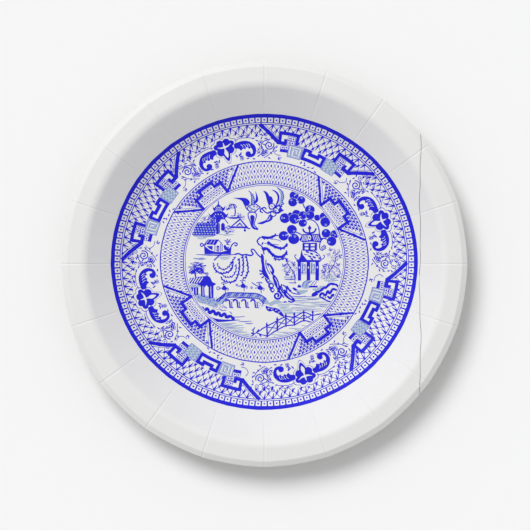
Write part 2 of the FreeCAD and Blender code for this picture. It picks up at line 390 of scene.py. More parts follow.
class Pen:
    """Paints on a drawing in a motif's own coordinates: degrees and reach if polar, else right and up."""

    def __init__(self, drawing, name, place, polar=False, ink=BLUE, side=1):
        self.drawing, self.name, self.place, self.polar = drawing, name, place, polar
        self.ink, self.side = ink, side

    def named(self, name, ink=BLUE):
        return Pen(self.drawing, name, self.place, self.polar, ink)

    def halves(self):
        """This pen and one that works on the other side of u = 0, where small motifs aren't mirrored."""
        return self, Pen(self.drawing, self.name, self.place, self.polar, self.ink, -self.side)

    def at(self, u, v, turn=0):
        """A pen for a small motif round a point, with its own right and up, turned clockwise."""
        u *= self.side
        sin, cos = math.sin(math.radians(self.side * turn)), math.cos(math.radians(self.side * turn))

        def place(right, up):
            across, along = right * cos + up * sin, up * cos - right * sin
            if self.polar:
                across = math.degrees(across / v)
            return self.place(u + across, v + along)
        return Pen(self.drawing, self.name, place, ink=self.ink)

    def mapped(self, line):
        return [unsteady(self.place(self.side * u, v)) for u, v in line]

    def paint(self, outline, ink):
        self.drawing.fill(outline, (self.name, ink or self.ink))

    def fill(self, points, ink=None):
        self.paint(self.mapped(divided(points, True)), ink)

    def shape(self, points, ink=None):
        """A smooth outline through points, filled."""
        self.paint(self.mapped(curved(points, True)), ink)

    def block(self, first, last, inner, outer, ink=None):
        self.fill([(first, inner), (last, inner), (last, outer), (first, outer)], ink)

    def ring(self, inner, outer, ink=None):
        for step in range(72):
            self.block(step * 5, step * 5 + 5, inner, outer, ink)

    def dot(self, u, v, radius, ink=None, tall=1.0):
        corners = 8 if radius < 1.2 else 20
        ring = [math.tau * corner / corners for corner in range(corners)]
        line = [(radius * math.cos(angle), radius * tall * math.sin(angle)) for angle in ring]
        self.paint(self.at(u, v).mapped(line), ink)

    def stroke(self, points, width, ink=None, curve=True, ends=(1.0, 1.0), middle=None):
        """A line of that width, which may thin or swell towards its ends and its middle."""
        line = self.mapped(curved(points) if curve else divided(points))
        middle = sum(ends) / 2 if middle is None else middle
        last = len(line) - 1
        sides = []
        for index, point in enumerate(line):
            along = line[min(index + 1, last)] - line[max(index - 1, 0)]
            if along.length == 0:
                continue
            t = index / last
            weight = (1 - t) * (1 - 2 * t) * ends[0] + 4 * t * (1 - t) * middle + t * (2 * t - 1) * ends[1]
            swell = 1 + 0.18 * noise.noise(Vector((point.x, point.y, 0)) * 0.7)
            half = max(0.015, width * UNIT * weight * swell / 2)
            side = Vector((-along.y, along.x)).normalized() * half
            sides.append((point + side, point - side))
        for (left, right), (next_left, next_right) in zip(sides, sides[1:]):
            self.paint([right, next_right, next_left, left], ink)

    def curves(self, width, *lines, ink=None):
        for line in lines:
            self.stroke(line, width, ink)

    def lines(self, width, *lines, ink=None):
        for line in lines:
            self.stroke(line, width, ink, curve=False)

    def circle(self, u, v, radius, width):
        ring = [math.tau * step / 12 for step in range(13)]
        self.at(u, v).lines(width, [(radius * math.cos(angle), radius * math.sin(angle)) for angle in ring])


def whole(half):
    """A half outline and its mirror image, as one closed outline about u = 0."""
    return half + [(-u, v) for u, v in half[::-1]]


def art(angle, reach):
    """Point of the print on the plan: clockwise from its top, and hundredths of the way out to its edge."""
    turn = math.radians(angle)
    return PRINT_CENTRE + Vector((PRINT_X * reach * math.sin(turn), PRINT_Y * reach * math.cos(turn)))


def panel_pen(drawing, name, centre, straight=None):
    """A pen in degrees from a panel's middle and reach; straight: the reach where level lines stay level."""
    turn = math.radians(centre)

    def place(degrees, reach):
        if straight is None:
            return art(centre + degrees, reach)
        across = math.radians(degrees) * straight
        right = across * math.cos(turn) + reach * math.sin(turn)
        up = reach * math.cos(turn) - across * math.sin(turn)
        return PRINT_CENTRE + Vector((PRINT_X * right, PRINT_Y * up))
    return Pen(drawing, name, place, True)


def lay_on_plate(drawing, replaced):
    """Makes a piece of every layer of a drawing, lying on the sheet."""
    for (name, ink), (points, triangles) in sorted(drawing.pieces().items()):
        mesh = bpy.data.meshes.new(name)
        raised = [(x * MM, y * MM, (height(x, y) + INK_LIFT) * MM) for x, y in points]
        mesh.from_pydata(raised, [], triangles)
        flip_down_faces(mesh)
        add_piece(mesh.name, mesh, INKS[ink], ink + "_ink", *replaced.get(name, ()), smooth=False)


def flip_down_faces(mesh):
    work = bmesh.new()
    work.from_mesh(mesh)
    down = [face for face in work.faces if face.normal.z < 0]
    bmesh.ops.reverse_faces(work, faces=down)
    work.to_mesh(mesh)
    work.free()


# ---- Small motifs

def cell(pen):
    """A small square with a dot."""
    half = 1.3
    square = [(-half, -half), (half, -half), (half, half), (-half, half), (-half, -half)]
    pen.fill(square[:4], PAPER)
    pen.lines(0.4, square)
    pen.dot(0, 0, 0.6)


def leaf(pen, length, width):
    pen.stroke([(0, 0), (0.12 * length, 0.5 * length), (0, length)], width, ends=(0.3, 0.2), middle=1.1)


def sprig(pen, pairs):
    """A stem with pairs of leaves up it."""
    tall = 1.3 * pairs + 0.6
    pen.stroke([(0, 0), (0.2, tall / 2), (0, tall)], 0.32)
    for step in range(pairs):
        for side in (-1, 1):
            leaf(pen.at(0.1, 0.5 + 1.3 * step, side * 52), 1.7, 0.62)
    leaf(pen.at(0, tall - 0.3), 1.3, 0.6)


def blossom(pen, petals, radius):
    """A ring of round petals with a dot."""
    for petal in range(petals):
        angle = math.tau * petal / petals
        pen.circle(radius * math.sin(angle), radius * math.cos(angle), 0.55, 0.28)
    pen.dot(0, 0, 0.42)


def spiral(pen, turns, radius, width):
    """A curl that winds in towards its middle."""
    points = []
    steps = round(turns * 8)
    for step in range(steps + 1):
        angle = math.tau * turns * step / steps
        reach = radius * (1 - 0.85 * step / steps)
        points.append((reach * math.sin(angle), reach * math.cos(angle)))
    pen.stroke(points, width)


# ---- The border of the print

def outer_ring(pen):
    pen.ring(97.9, 100.3)


def cell_border(pen):
    """White squares with a dot between the outer ring and two thin lines."""
    pen.ring(94.15, 98.05)
    for index in range(150):
        angle = 2.4 * index
        pen.block(angle - 0.93, angle + 0.93, 94.65, 97.75, PAPER)
        pen.dot(angle, 96.2, 0.64)
    pen.ring(92.9, 93.5)


def net_band(pen):
    """Fine slanting lines that cross at short thick spikes, in staggered rows."""
    pitch, row = 360 / 104, 3.25
    rows = [(93.1 - row * step, pitch / 2 * (step % 2)) for step in range(4)]
    for index in range(104):
        for (reach, shift), (below, _) in zip(rows, rows[1:] + [(80.1, 0)]):
            angle = index * pitch + shift
            for side in (-1, 1):
                pen.lines(0.4, [(angle, reach), (angle + side * pitch / 2, below)])
            length = 4 if shift == 0 else 3
            spike = [(angle + 0.2, reach + 0.4), (angle - 0.5, reach - length)]
            pen.stroke(spike, 1.5, curve=False, ends=(1, 0.2))


def both_sides(pen, first, last, inner, outer, ink=BLUE):
    """A block and its mirror image."""
    pen.block(first, last, inner, outer, ink)
    pen.block(-last, -first, inner, outer, ink)


def pale_block(pen, left, keyed):
    """A pale square that joins the keys, with a fine key or a stipple on it."""
    wide = 6.9
    pen.block(left, left + wide, 72.9, 81.5, PALE)
    if keyed:
        key = [(1, 74.2), (1, 80.2), (5.9, 80.2), (5.9, 74.4), (2.6, 74.4), (2.6, 78.6), (4.4, 78.6),
                (4.4, 76.2)]
        pen.lines(0.95, [(left + u, v) for u, v in key], ink=PAPER)
        pen.lines(0.3, [(left + u + 0.4, v + 0.3) for u, v in key])
    else:
        for row in range(7):
            for column in range(6):
                u, v = left + 0.7 + 1.05 * column + 0.4 * (row % 2), 73.8 + 1.15 * row
                pen.dot(u, v, 0.3, PAPER if (row + column) % 2 else BLUE)
    edge = [(left, 72.9), (left + wide, 72.9), (left + wide, 81.5), (left, 81.5), (left, 72.9)]
    pen.lines(0.26, edge)


def fret_panel(pen, blocks):
    """Bold keys: a notched middle one, a hook on each side, and slanting bands to the border."""
    for half in pen.halves():
        half.lines(3.6, [(26, 93.4), (17.7, 80.9)], ink=PAPER)
        half.fill([(18.6, 79.4), (22.6, 85.6), (26, 86.4), (30, 79.4)], PAPER)
    pen.fill([(-18.2, 70), (18.2, 70), (18.2, 80.4), (12.6, 80.4), (12.6, 82), (-12.6, 82), (-12.6, 80.4),
            (-18.2, 80.4)], PAPER)
    both_sides(pen, 10.2, 16.8, 80, 87.4, PAPER)
    pale_block(blocks, -12.8, True)
    pale_block(blocks, 5.9, False)
    both_sides(pen, 8.9, 18.1, 87, 89.3)
    both_sides(pen, 8.9, 10.3, 81.5, 87)
    both_sides(pen, 16.7, 18.1, 80.2, 87)
    both_sides(pen, 14.1, 16.7, 80.2, 82.6)
    both_sides(pen, 14.1, 15.5, 82.6, 84.5)
    both_sides(pen, 12.9, 16.7, 75.3, 77.2)
    for half in pen.halves():
        for u, v in ((13, 85.2), (11.4, 85.2), (13, 82.2), (11.5, 82.4), (15.5, 78.6), (13.7, 78.8)):
            cell(half.at(u, v))
        half.lines(2.55, [(26.2, 93.3), (17.6, 80.9)])
        half.lines(0.3, [(24, 92.9), (18.4, 84.6)])
    pen.block(-5.7, 5.7, 73.3, 81.6)
    pen.block(-1.5, 1.3, 79.7, 81.8, PAPER)
    pen.block(-4.3, 4.2, 75.6, 77.3, PAPER)
    both_sides(pen, 2.9, 4.2, 77.3, 79.3, PAPER)
    for u, v, turn in ((-5.2, 70.6, 20), (-3.2, 69.9, 55), (-2.6, 70.9, -30), (-0.9, 70.1, 80),
            (1.5, 70.3, 40), (3.4, 69.8, 110)):
        leaf(pen.at(u, v, turn), 1.9, 0.75)
    for half in pen.halves():
        half.stroke([(19, 78.6), (20, 76), (18.4, 73.4), (16, 73)], 0.4)
        sprig(half.at(17.4, 70.4, -60), 1)


ROSETTE = [(0, 86.3), (1.1, 87.3), (2.5, 86.9), (3, 85.5), (4, 85.1), (4.75, 83.9), (4.5, 82.3),
        (3.7, 81.3), (4.2, 79.8), (3.9, 78), (2.8, 76.7), (1.8, 76.7), (1.3, 74.6), (0.7, 72.9), (0, 72.1)]
SCROLL = [(4.6, 82.2), (6.2, 82.8), (8.4, 83.2), (10.6, 82.9), (12.4, 81.7), (14, 79.3), (14.6, 76.9),
        (14.3, 74.2), (13.3, 72.3), (11.4, 71.5), (9.7, 72.1), (9, 73.6), (9.5, 75.3), (10.6, 75.8),
        (11.6, 75.2), (11.8, 74.1), (12.4, 73.8), (12.9, 75.2), (12.7, 76.9), (12, 78), (11.2, 77.1),
        (10.8, 78.2), (9.9, 78.5), (9.3, 77.3), (8.4, 78), (7.2, 76.9), (6.6, 78.2), (5.6, 78.9),
        (4.4, 79.4)]


def grown(points, centre, factor):
    return [(u * factor, centre + (v - centre) * factor) for u, v in points]


def scroll(pen):
    """A leafy scroll beside the rosette, with leaves over it and a blossom under it."""
    pen.shape(SCROLL)
    for lift, inner, outer in ((85.2, 5.2, 12.8), (86.9, 6.4, 11.4)):
        pen.stroke([(inner, lift - 1), (inner + 3, lift), (outer, lift - 0.6)], 0.42)
    for u, v, turn in ((8, 86, 70), (10.4, 85.6, 78), (12.8, 84.4, 95), (14.6, 83, 115), (15.6, 80.8, 130)):
        leaf(pen.at(u, v, turn), 2.3, 0.7)
    for u in (7.6, 8.8, 10, 11):
        pen.stroke([(u, 80.9), (u + 0.7, 79.9), (u + 0.8, 78.7)], 0.34, PAPER)
    sprig(pen.at(6.3, 72.2, 14), 1)
    blossom(pen.at(6.9, 71.6), 5, 0.8)
    leaf(pen.at(4.2, 75.2, 155), 2.4, 0.8)
    leaf(pen.at(7.4, 75.6, -130), 2, 0.7)


def garland(pen):
    """Sprigs, curls, blossoms and rings between the scroll and the next key."""
    sprig(pen.at(17.6, 71.4, 8), 3)
    sprig(pen.at(16.2, 73.4, -40), 1)
    blossom(pen.at(19.3, 74.4), 6, 1.1)
    blossom(pen.at(17, 81.2), 5, 0.9)
    spiral(pen.at(20.9, 79.2, 60), 1.7, 3.2, 0.75)
    pen.stroke([(16.4, 72.6), (18, 75.4), (17.2, 78.4), (18.2, 81.6), (21.4, 83.4)], 0.55)
    spiral(pen.at(22.2, 84.6, -40), 1.4, 1.7, 0.42)
    spiral(pen.at(17.2, 77.4, 200), 1.3, 1.5, 0.4)
    pen.stroke([(18.4, 70.6), (20.4, 72.2), (22.8, 75), (24, 78.6)], 0.5)
    for u, v, turn in ((23.6, 75.4, 70), (24.2, 77.6, 20), (22.6, 73.2, -50), (20.6, 71.2, 120),
            (24.4, 80.6, -20), (23.8, 83, 40), (18.2, 85.2, -60), (16.4, 86, 60), (19, 79, -60),
            (18.8, 76.2, 100), (16, 78.6, 10), (15.8, 75.4, -20), (14.9, 71.8, 60), (17, 83.2, 20),
            (5.4, 74.2, 60), (9.2, 70.9, 80), (12.4, 70.6, 100)):
        leaf(pen.at(u, v, turn), 1.9, 0.72)
    for u, v in ((22, 87.6), (20.6, 88.4), (20.2, 82.6), (25, 86), (15.2, 87.4)):
        pen.circle(u, v, 0.8, 0.36)
    pen.circle(19.2, 86.4, 1, 0.42)
    pen.dot(19.2, 86.4, 0.35)
    leaf(pen.at(18.6, 83.6, 70), 2.2, 0.7)


def flower_panel(pen):
    """A lobed rosette with a white cross of petals, a leafy scroll on each side, and a garland beyond it."""
    clear = [(0, 89.2), (6, 87.6), (12, 86.2), (16.6, 84), (20.5, 84.6), (22, 77), (21.5, 70), (0, 70)]
    pen.fill(whole(clear), PAPER)
    rosette = whole(ROSETTE)
    pen.shape(grown(rosette, 80, 1.24))
    pen.shape(grown(rosette, 80, 1.185), PAPER)
    for half in pen.halves():
        scroll(half)
        garland(half)
    pen.shape(rosette)
    pen.shape([(-3.2, 83.3), (-1.6, 82.6), (0, 82.6), (1.6, 82.6), (3.4, 83.5), (1.7, 81.6), (0, 81.3),
            (-1.6, 81.6)], PAPER)
    pen.shape([(0, 85.3), (0.35, 82.8), (0.3, 80.2), (0.95, 77.4), (0, 74.5), (-0.95, 77.4), (-0.3, 80.2),
            (-0.35, 82.8)], PAPER)


# ---- The ring round the scene

def lattice_band(pen):
    """Slanting lines that cross in tall lozenges, with an upright dot in each, between rings."""
    pitch, row, top = 4, 3.63, 68.9
    pen.ring(51.2, top, PAPER)
    for index in range(90):
        angle = index * pitch
        for side in (-1, 1):
            slope = side * pitch / 2 / row
            line = [(angle + slope * (top - reach), reach) for reach in (68.3, 63.2, 58.1, 53)]
            pen.lines(0.3, line)
        for step in range(1, 5):
            pen.dot(angle + pitch / 2 * ((step + 1) % 2), top - row * step, 0.5, tall=2.1)
            pen.dot(angle + pitch / 2 * (step % 2), top - row * step, 0.34)
    pen.ring(67.75, 68.5)
    pen.ring(52.7, 53.25)
    pen.ring(51.65, 52)


def step_panel(pen, straight):
    """A stepped frame over a grid of dotted cells, with a chequered ground, between slanting bands."""
    pen.fill([(-22.2, 67.9), (22.2, 67.9), (10.6, 53.25), (-10.6, 53.25)], PAPER)
    for row in range(7):
        reach = 54.6 + 2 * row
        widest = 10.6 + 11.2 * (reach - 53.2) / 15 - 1.6
        for column in range(-8, 9):
            u = 2.35 * (column + row % 2 / 2)
            if abs(u) < widest:
                pen.lines(1.1, [(u - 0.7, reach - 0.5), (u + 0.7, reach + 0.5)])
                pen.lines(0.55, [(u + 0.1, reach - 0.9), (u + 1.1, reach - 1.2)])
                pen.lines(0.3, [(u - 1.2, reach + 0.9), (u - 0.5, reach - 1)])
    straight.fill([(-10.8, 52.4), (10.8, 52.4), (10.8, 61.2), (6.1, 61.4), (6.1, 65), (-6.1, 65),
            (-6.1, 61.4), (-10.8, 61.2)])
    straight.fill([(-8.9, 52.7), (8.9, 52.7), (8.9, 59.1), (4.2, 59.4), (4.2, 62.8), (-4.2, 62.8),
            (-4.2, 59.4), (-8.9, 59.1)], PAPER)
    for row, (reach, columns, wide) in enumerate(((54.7, 7, 2.5), (57.4, 7, 2.45), (60.9, 3, 2.75))):
        straight.lines(0.34, [(-columns / 2 * wide, reach + 1.45), (columns / 2 * wide, reach + 1.45)])
        for column in range(columns):
            u = wide * (column - (columns - 1) / 2)
            straight.dot(u, reach, 0.48 + 0.12 * row)
            if column:
                straight.lines(0.24, [(u - wide / 2, reach - 1.4), (u - wide / 2, reach + 1.4)])
    for half in straight.halves():
        half.lines(1.5, [(26.4, 62.5), (9.3, 52)])
        half.lines(0.3, [(24.2, 63.4), (11.8, 55.4)])


# ---- The scene in the middle

def scribbled(pen, centre, wide, tall, count, seed, width=0.45):
    """Foliage: short strokes and dots strewn over an ellipse."""
    strewn = random.Random(seed)
    for index in range(count):
        angle, out = strewn.uniform(0, math.tau), math.sqrt(strewn.random())
        u, v = centre[0] + wide * out * math.cos(angle), centre[1] + tall * out * math.sin(angle)
        turn, length = strewn.uniform(0, 360), strewn.uniform(0.8, 1.9)
        if index % 4:
            pen.at(u, v, turn).stroke([(0, 0), (0.35 * length, 0.5 * length),
                    (0, length)], width, ends=(0.5, 0.3))
        else:
            pen.dot(u, v, strewn.uniform(0.2, 0.38))


def fronded(pen, points, width, length):
    """A drooping branch: a rough core with short feathery leaves along both sides."""
    line = curved(points, steps=8)
    pen.stroke(points, width, ends=(1, 0.7))
    gone, count = 0, 0
    for (u, v), (next_u, next_v) in zip(line, line[1:]):
        gone += math.dist((u, v), (next_u, next_v))
        if gone > 0.85:
            gone, count = 0, count + 1
            turn = math.degrees(math.atan2(next_u - u, next_v - v))
            side = 1 if count % 2 else -1
            tilt = 34 + 16 * math.sin(2.4 * count)
            leaf(pen.at(u, v, turn + side * tilt), length * (1.2 + 0.3 * math.sin(1.7 * count)), 0.75)


def lumpy(pen, points, width):
    """A rough thick edge of rock: a heavy line with lumps along it."""
    pen.stroke(points, width, ends=(0.8, 0.8), middle=1.15)
    for index, (u, v) in enumerate(curved(points, steps=3)):
        pen.dot(u, v + 0.12 * width * math.sin(2.1 * index), width * (0.5 + 0.12 * (index % 3)))


def level_lines(pen, lines, width):
    """Nearly level strokes of water or ground, as (left, right, height)."""
    for left, right, v in lines:
        middle = (left + right) / 2
        pen.stroke([(left, v), (middle, v - 0.35), (right, v + 0.1)], width, ends=(0.4, 0.4), middle=1)


def left_bird_wings(pen, pale):
    """The left bird's spread wing, its fan of feathers and its far wing tip."""
    pen.shape([(-20.3, 43.3), (-17.1, 43.5), (-14.5, 43.5), (-11.9, 43.1), (-10.2, 41.8), (-9.4, 40),
            (-10.5, 38.3), (-11.9, 37.8), (-13.3, 39.2), (-14.4, 40.9), (-16.5, 42.3)])
    pen.curves(0.7, [(-14.2, 41.2), (-12.9, 38.4), (-11.6, 35.9), (-10.2, 34.9)])
    feathers = [(-10.4, 48.2), (-8.7, 47), (-7.2, 44.8), (-6.5, 42.2), (-6.6, 39.6), (-8.4, 38.2),
            (-8.5, 41.2), (-8.3, 44), (-9, 46.2)]
    pale.shape(feathers)
    pen.curves(0.5, feathers[:5], feathers[5:])
    for v in (45.6, 44.2, 42.8, 41.4, 40):
        pen.curves(0.4, [(-8.3, v - 0.6), (-7.4, v), (-6.9, v + 0.5)])
    pen.shape([(-5.8, 47.9), (-4.5, 45.1), (-4, 42.4), (-4.6, 40.5), (-6.1, 39.4), (-7, 38.4), (-6.2, 41),
            (-5.6, 43.1), (-5.5, 45.4)])


def left_bird_body(pen, pale):
    """The left bird's speckled body and forked tail."""
    body = [(-10.6, 37.7), (-8.6, 38.4), (-5.7, 39), (-4.1, 38), (-2.7, 36.9), (-4.4, 35.6), (-5.6, 34.2),
            (-8, 33.5), (-9.8, 34.3), (-11, 35.8)]
    pen.shape(body, PAPER)
    pen.curves(0.75, body + body[:1])
    for u, v in ((-9.4, 36.9), (-8, 36), (-6.6, 37.6), (-6.4, 35.4), (-8.6, 34.9)):
        pale.dot(u, v, 0.75)
        pen.curves(0.42, [(u - 0.6, v + 0.4), (u + 0.1, v - 0.2), (u + 0.7, v - 0.7)])
    pen.dot(-4.7, 37.1, 0.5)
    tail = [(-10.6, 32.9), (-9, 33.6), (-7, 33.6), (-5.5, 32.8), (-5.3, 30.6), (-6.2, 27.6), (-6.5, 25.2),
            (-4.6, 22.4), (-6.8, 22.4), (-8.4, 24.6), (-9.4, 27.6), (-10.4, 30.6)]
    pen.shape(tail, PAPER)
    pen.curves(0.7, tail + tail[:1])
    pen.shape([(-9.2, 30.6), (-8, 31.8), (-6.4, 30.6), (-6.8, 27.4), (-7, 24.6), (-5, 22.2), (-7, 22.6),
            (-8.4, 25.4)])
    pen.dot(-4.7, 22.2, 0.85)


def right_bird_wings(pen, pale):
    """The right bird's two wings and the feathers beside them."""
    pen.shape([(-0.8, 48.1), (1.2, 47.6), (2.6, 46.2), (3.3, 44.8), (4.9, 44.2), (5.8, 41.7), (5.2, 39.4),
            (3.3, 37.9), (2.1, 40.3), (1.4, 43.1), (0.6, 45.8)])
    feathers = [(8.2, 50.3), (10.9, 48.6), (12.4, 46.1), (12.8, 43.1), (11.9, 41), (12.8, 39.4), (11, 38.8),
            (11.6, 37.4), (9.4, 38.4), (10.3, 41.7), (10.7, 45.1), (9.7, 47.9)]
    pale.fill(feathers)
    pen.curves(0.55, feathers[:4], feathers[3:7], feathers[6:9])
    for v in (47.4, 46, 44.6, 43.2, 41.8, 40.4):
        pen.curves(0.34, [(10.8, v - 0.7), (11.6, v), (12.2, v + 0.6)])
    pen.shape([(4.8, 49), (7.6, 48), (9.4, 45.9), (9.9, 43.4), (9.6, 41), (8.4, 38.8), (7, 37.6),
            (8.5, 41.7), (8.6, 44.4), (7.3, 46.9)])


def right_bird_body(pen):
    """The right bird's round body, neck, beak and tail."""
    for u, v, radius in ((5, 37.7, 1.9), (8.6, 35.4, 2.6), (6, 32.6, 1.8)):
        pen.dot(u, v, radius + 0.35)
        pen.dot(u, v, radius - 0.35, PAPER)
    neck = [(-1.6, 36.8), (-0.2, 34.6), (2.2, 33), (4.8, 34.2), (7, 33), (9.6, 33.6), (12.4, 35)]
    pen.curves(0.9, neck, [(3, 38), (4.2, 35.8), (7.2, 36.6), (10, 39)], [(-1, 33.2), (-2.6, 34.4),
            (-1.8, 36.2), (0.4, 36.8), (1.4, 35.6)])
    pen.curves(0.5, [(7.6, 36.4), (9, 35.6), (9.8, 34.4)], [(6.6, 35.2), (8.2, 34.4)], [(4.4, 38.2),
            (5.6, 37.2)])
    pen.shape([(10.2, 37.4), (11.4, 35.8), (12.6, 34.8), (10.4, 33.8), (9.2, 34.4)])
    tail = [(3.4, 31.9), (5.5, 30.9), (5.2, 28.7), (3.1, 27.3), (1.1, 26.7), (-1.6, 25.5), (-4.6, 26.2),
            (-1.4, 27.3), (1.1, 28.4), (2.4, 30.2)]
    pen.shape(tail)
    pen.curves(0.45, [(3.8, 30.6), (3.2, 29.2), (1.8, 28.2)], ink=PAPER)


def gate(pen):
    """A two-storeyed gate with dotted roofs."""
    pen.stroke([(-30, 42), (-30, 38)], 1.1, curve=False, ends=(0.4, 1))
    upper = [(-33.9, 38.4), (-33, 36.4), (-31.9, 37.6), (-30, 39.4), (-28.1, 37.7), (-26.8, 36.6),
            (-25.4, 38.4), (-26, 35.4), (-27.4, 34), (-32.6, 34), (-33.6, 35.8)]
    lower = [(-36.7, 33.4), (-35.2, 31.8), (-33.2, 33.8), (-30, 34.6), (-26.6, 33.8), (-25, 31.9),
            (-23.6, 33.2), (-24.4, 30.4), (-26.6, 29.2), (-33.2, 29.2), (-35.6, 30.4)]
    for roof, middle, low in ((upper, -30, 34.6), (lower, -30.2, 29.8)):
        pen.fill(roof)
        for row in range(3):
            for step in range(5 - row):
                wide = 1.05 if roof is upper else 1.75
                pen.dot(middle + wide * (step - (4 - row) / 2), low + 1.2 * row, 0.38, PAPER)
    pen.lines(0.8, [(-34.6, 29.2), (-25.6, 29.2)])
    pen.fill([(-31.9, 31.3), (-27.6, 31.3), (-28.8, 27.6), (-29.8, 26.8), (-29.8, 18.7), (-31.6, 18.7)])
    pen.lines(0.6, [(-26.7, 30), (-23.8, 26)], [(-29.4, 26.2), (-29.4, 19.2)])
    pen.fill([(-28.3, 21.4), (-25.9, 21.4), (-25.9, 25.4), (-27.1, 26.8), (-28.3, 25.4)])


def gate_bank(pen, pale):
    """A bank of scalloped rows beside the gate, with foliage over it."""
    for row, v in enumerate((25.8, 24, 22.4, 20.8, 19.2)):
        left = -45.4 - 0.4 * row
        for step in range(8):
            u = left + 1.85 * step + 0.9 * (row % 2)
            if u < -32.4:
                pen.curves(0.55, [(u, v - 0.6), (u + 0.4, v + 0.6), (u + 1.4, v + 0.6), (u + 1.8, v - 0.6)])
                pale.dot(u + 0.9, v - 0.1, 0.6)
        pen.lines(0.75, [(left, v - 0.8), (-32, v - 0.8)])
    scribbled(pen, (-37, 28.4), 4.4, 2.3, 70, 1, 0.55)
    scribbled(pen, (-34.6, 26.6), 3.4, 1.6, 34, 15, 0.5)
    scribbled(pen, (-24.2, 21.6), 3.6, 2.9, 56, 2, 0.5)


def hut(pen, pale):
    """A gabled hut beyond a bent tree, and the shore under it."""
    pen.curves(0.85, [(-19.4, 31), (-19, 34), (-19.4, 37), (-20.8, 39.3)])
    pen.curves(0.6, [(-20.8, 39.3), (-22.6, 38.4), (-23.4, 36.6), (-24.8, 35.9)], [(-21, 39), (-19, 38.6),
            (-18.2, 36.8)], [(-22.4, 37.6), (-21.2, 36.4)], [(-22.8, 36.2), (-25, 35.2)])
    scribbled(pen, (-22, 37.4), 2.8, 1.9, 20, 16, 0.45)
    level_lines(pen, [(-25.6, -12.6, 30.4), (-23.6, -16, 29.7), (-22, -19.6, 31.4)], 0.6)
    scribbled(pen, (-15.8, 30.2), 3.4, 2.2, 34, 17, 0.55)
    hut = [(-22.2, 23.4), (-15.8, 29.2), (-10.9, 22.8)]
    pen.fill([(-23, 23.2), (-15.8, 29.6), (-9.8, 22.6)])
    pen.fill([(-20.8, 24.2), (-15.8, 28.2), (-12.2, 24)], PAPER)
    pen.fill([(-18.6, 24.4), (-15.9, 26.8), (-13.8, 24.3)])
    pen.fill([(-17.4, 24.5), (-15.9, 25.6), (-14.8, 24.4)], PAPER)
    pen.curves(0.6, hut[1:] + [(-9, 23)], [(-24, 24.6), (-20, 23)])
    pen.lines(0.6, [(-12.8, 22.8), (-12.8, 21.4)])
    pen.dot(-12.7, 21.2, 0.85)
    level_lines(pen, [(-46.6, -31, 17.9), (-42, -36, 16.9)], 0.34)
    level_lines(pale, [(-46, -33, 17.2), (-30, -20, 18.6), (-44, -38, 16)], 0.7)


def boat(pen, pale):
    """A roofed boat with a curled stern and a boatman, on a line of water."""
    pen.fill([(-39.4, 11), (-39.2, 5.2), (-22, 5.2), (-21.4, 11.4), (-22.6, 9.6), (-24.8, 7.6), (-28, 6.7),
            (-32, 6.7), (-35.6, 7.9), (-37.6, 9.6)])
    pen.fill([(-38.9, 11.9), (-37.4, 10.4), (-35.2, 8.5), (-32, 7.4), (-28.2, 7.4), (-28.2, 12.2),
            (-30.1, 14.6), (-37, 14.8)], PAPER)
    pen.circle(-40.9, 11.5, 1, 0.75)
    pen.curves(0.8, [(-39.9, 11.4), (-38.4, 11.2)], [(-22, 9.8), (-20.8, 12), (-19, 12.9), (-17.6, 12),
            (-18.4, 10.9), (-19.4, 11.5)])
    pen.fill([(-39.4, 11.7), (-37.1, 15.1), (-29.7, 15.1), (-31.8, 11.5)])
    for step in range(3):
        u = -36.4 + 2.1 * step
        pen.lines(0.28, [(u, 14.6), (u - 1.6, 12.2)], ink=PAPER)
    pen.lines(0.5, [(-30.1, 14.9), (-27.7, 12.1)], [(-28.6, 12.4), (-28.6, 7)], [(-32.4, 11.4),
            (-32.4, 7.2)], [(-27.6, 12), (-27.6, 7.4)])
    pen.fill([(-37.6, 10.7), (-33.9, 10.7), (-33.9, 7.9), (-35.8, 8.8)])
    pen.fill([(-31.3, 11), (-29.6, 11), (-29.6, 7), (-31.3, 7)])
    pen.lines(0.35, [(-30.4, 10), (-30.4, 7.4)], ink=PAPER)
    pen.fill([(-26.8, 10.8), (-25.6, 11.6), (-24.4, 9.8), (-23, 10.4), (-23.6, 8.8), (-24.6, 7.8),
            (-26, 8)])
    pen.curves(0.6, [(-24.6, 12), (-23.6, 13.6), (-22.2, 15.4)], [(-24.2, 12.6), (-25.4, 14.6)],
            [(-23.6, 13.4), (-21.8, 13.6)], [(-24.4, 11.8), (-22.8, 11.6)])
    scribbled(pen, (-24.2, 14.2), 2.2, 1.6, 12, 3, 0.45)
    pen.stroke([(-44.5, 4.9), (-31, 4.5), (-18.2, 5)], 0.7, ends=(0.4, 0.4), middle=1.1)
    pen.curves(0.85, [(-28.3, 5.6), (-30.6, 3.2), (-33, 1)])
    level_lines(pen, [(-46.6, -39.6, 2.6), (-44.6, -38.4, 1.9)], 0.6)
    level_lines(pale, [(-46, -38, 2.2), (-30, -22, 3.4), (-29, -23, 2.2)], 0.8)


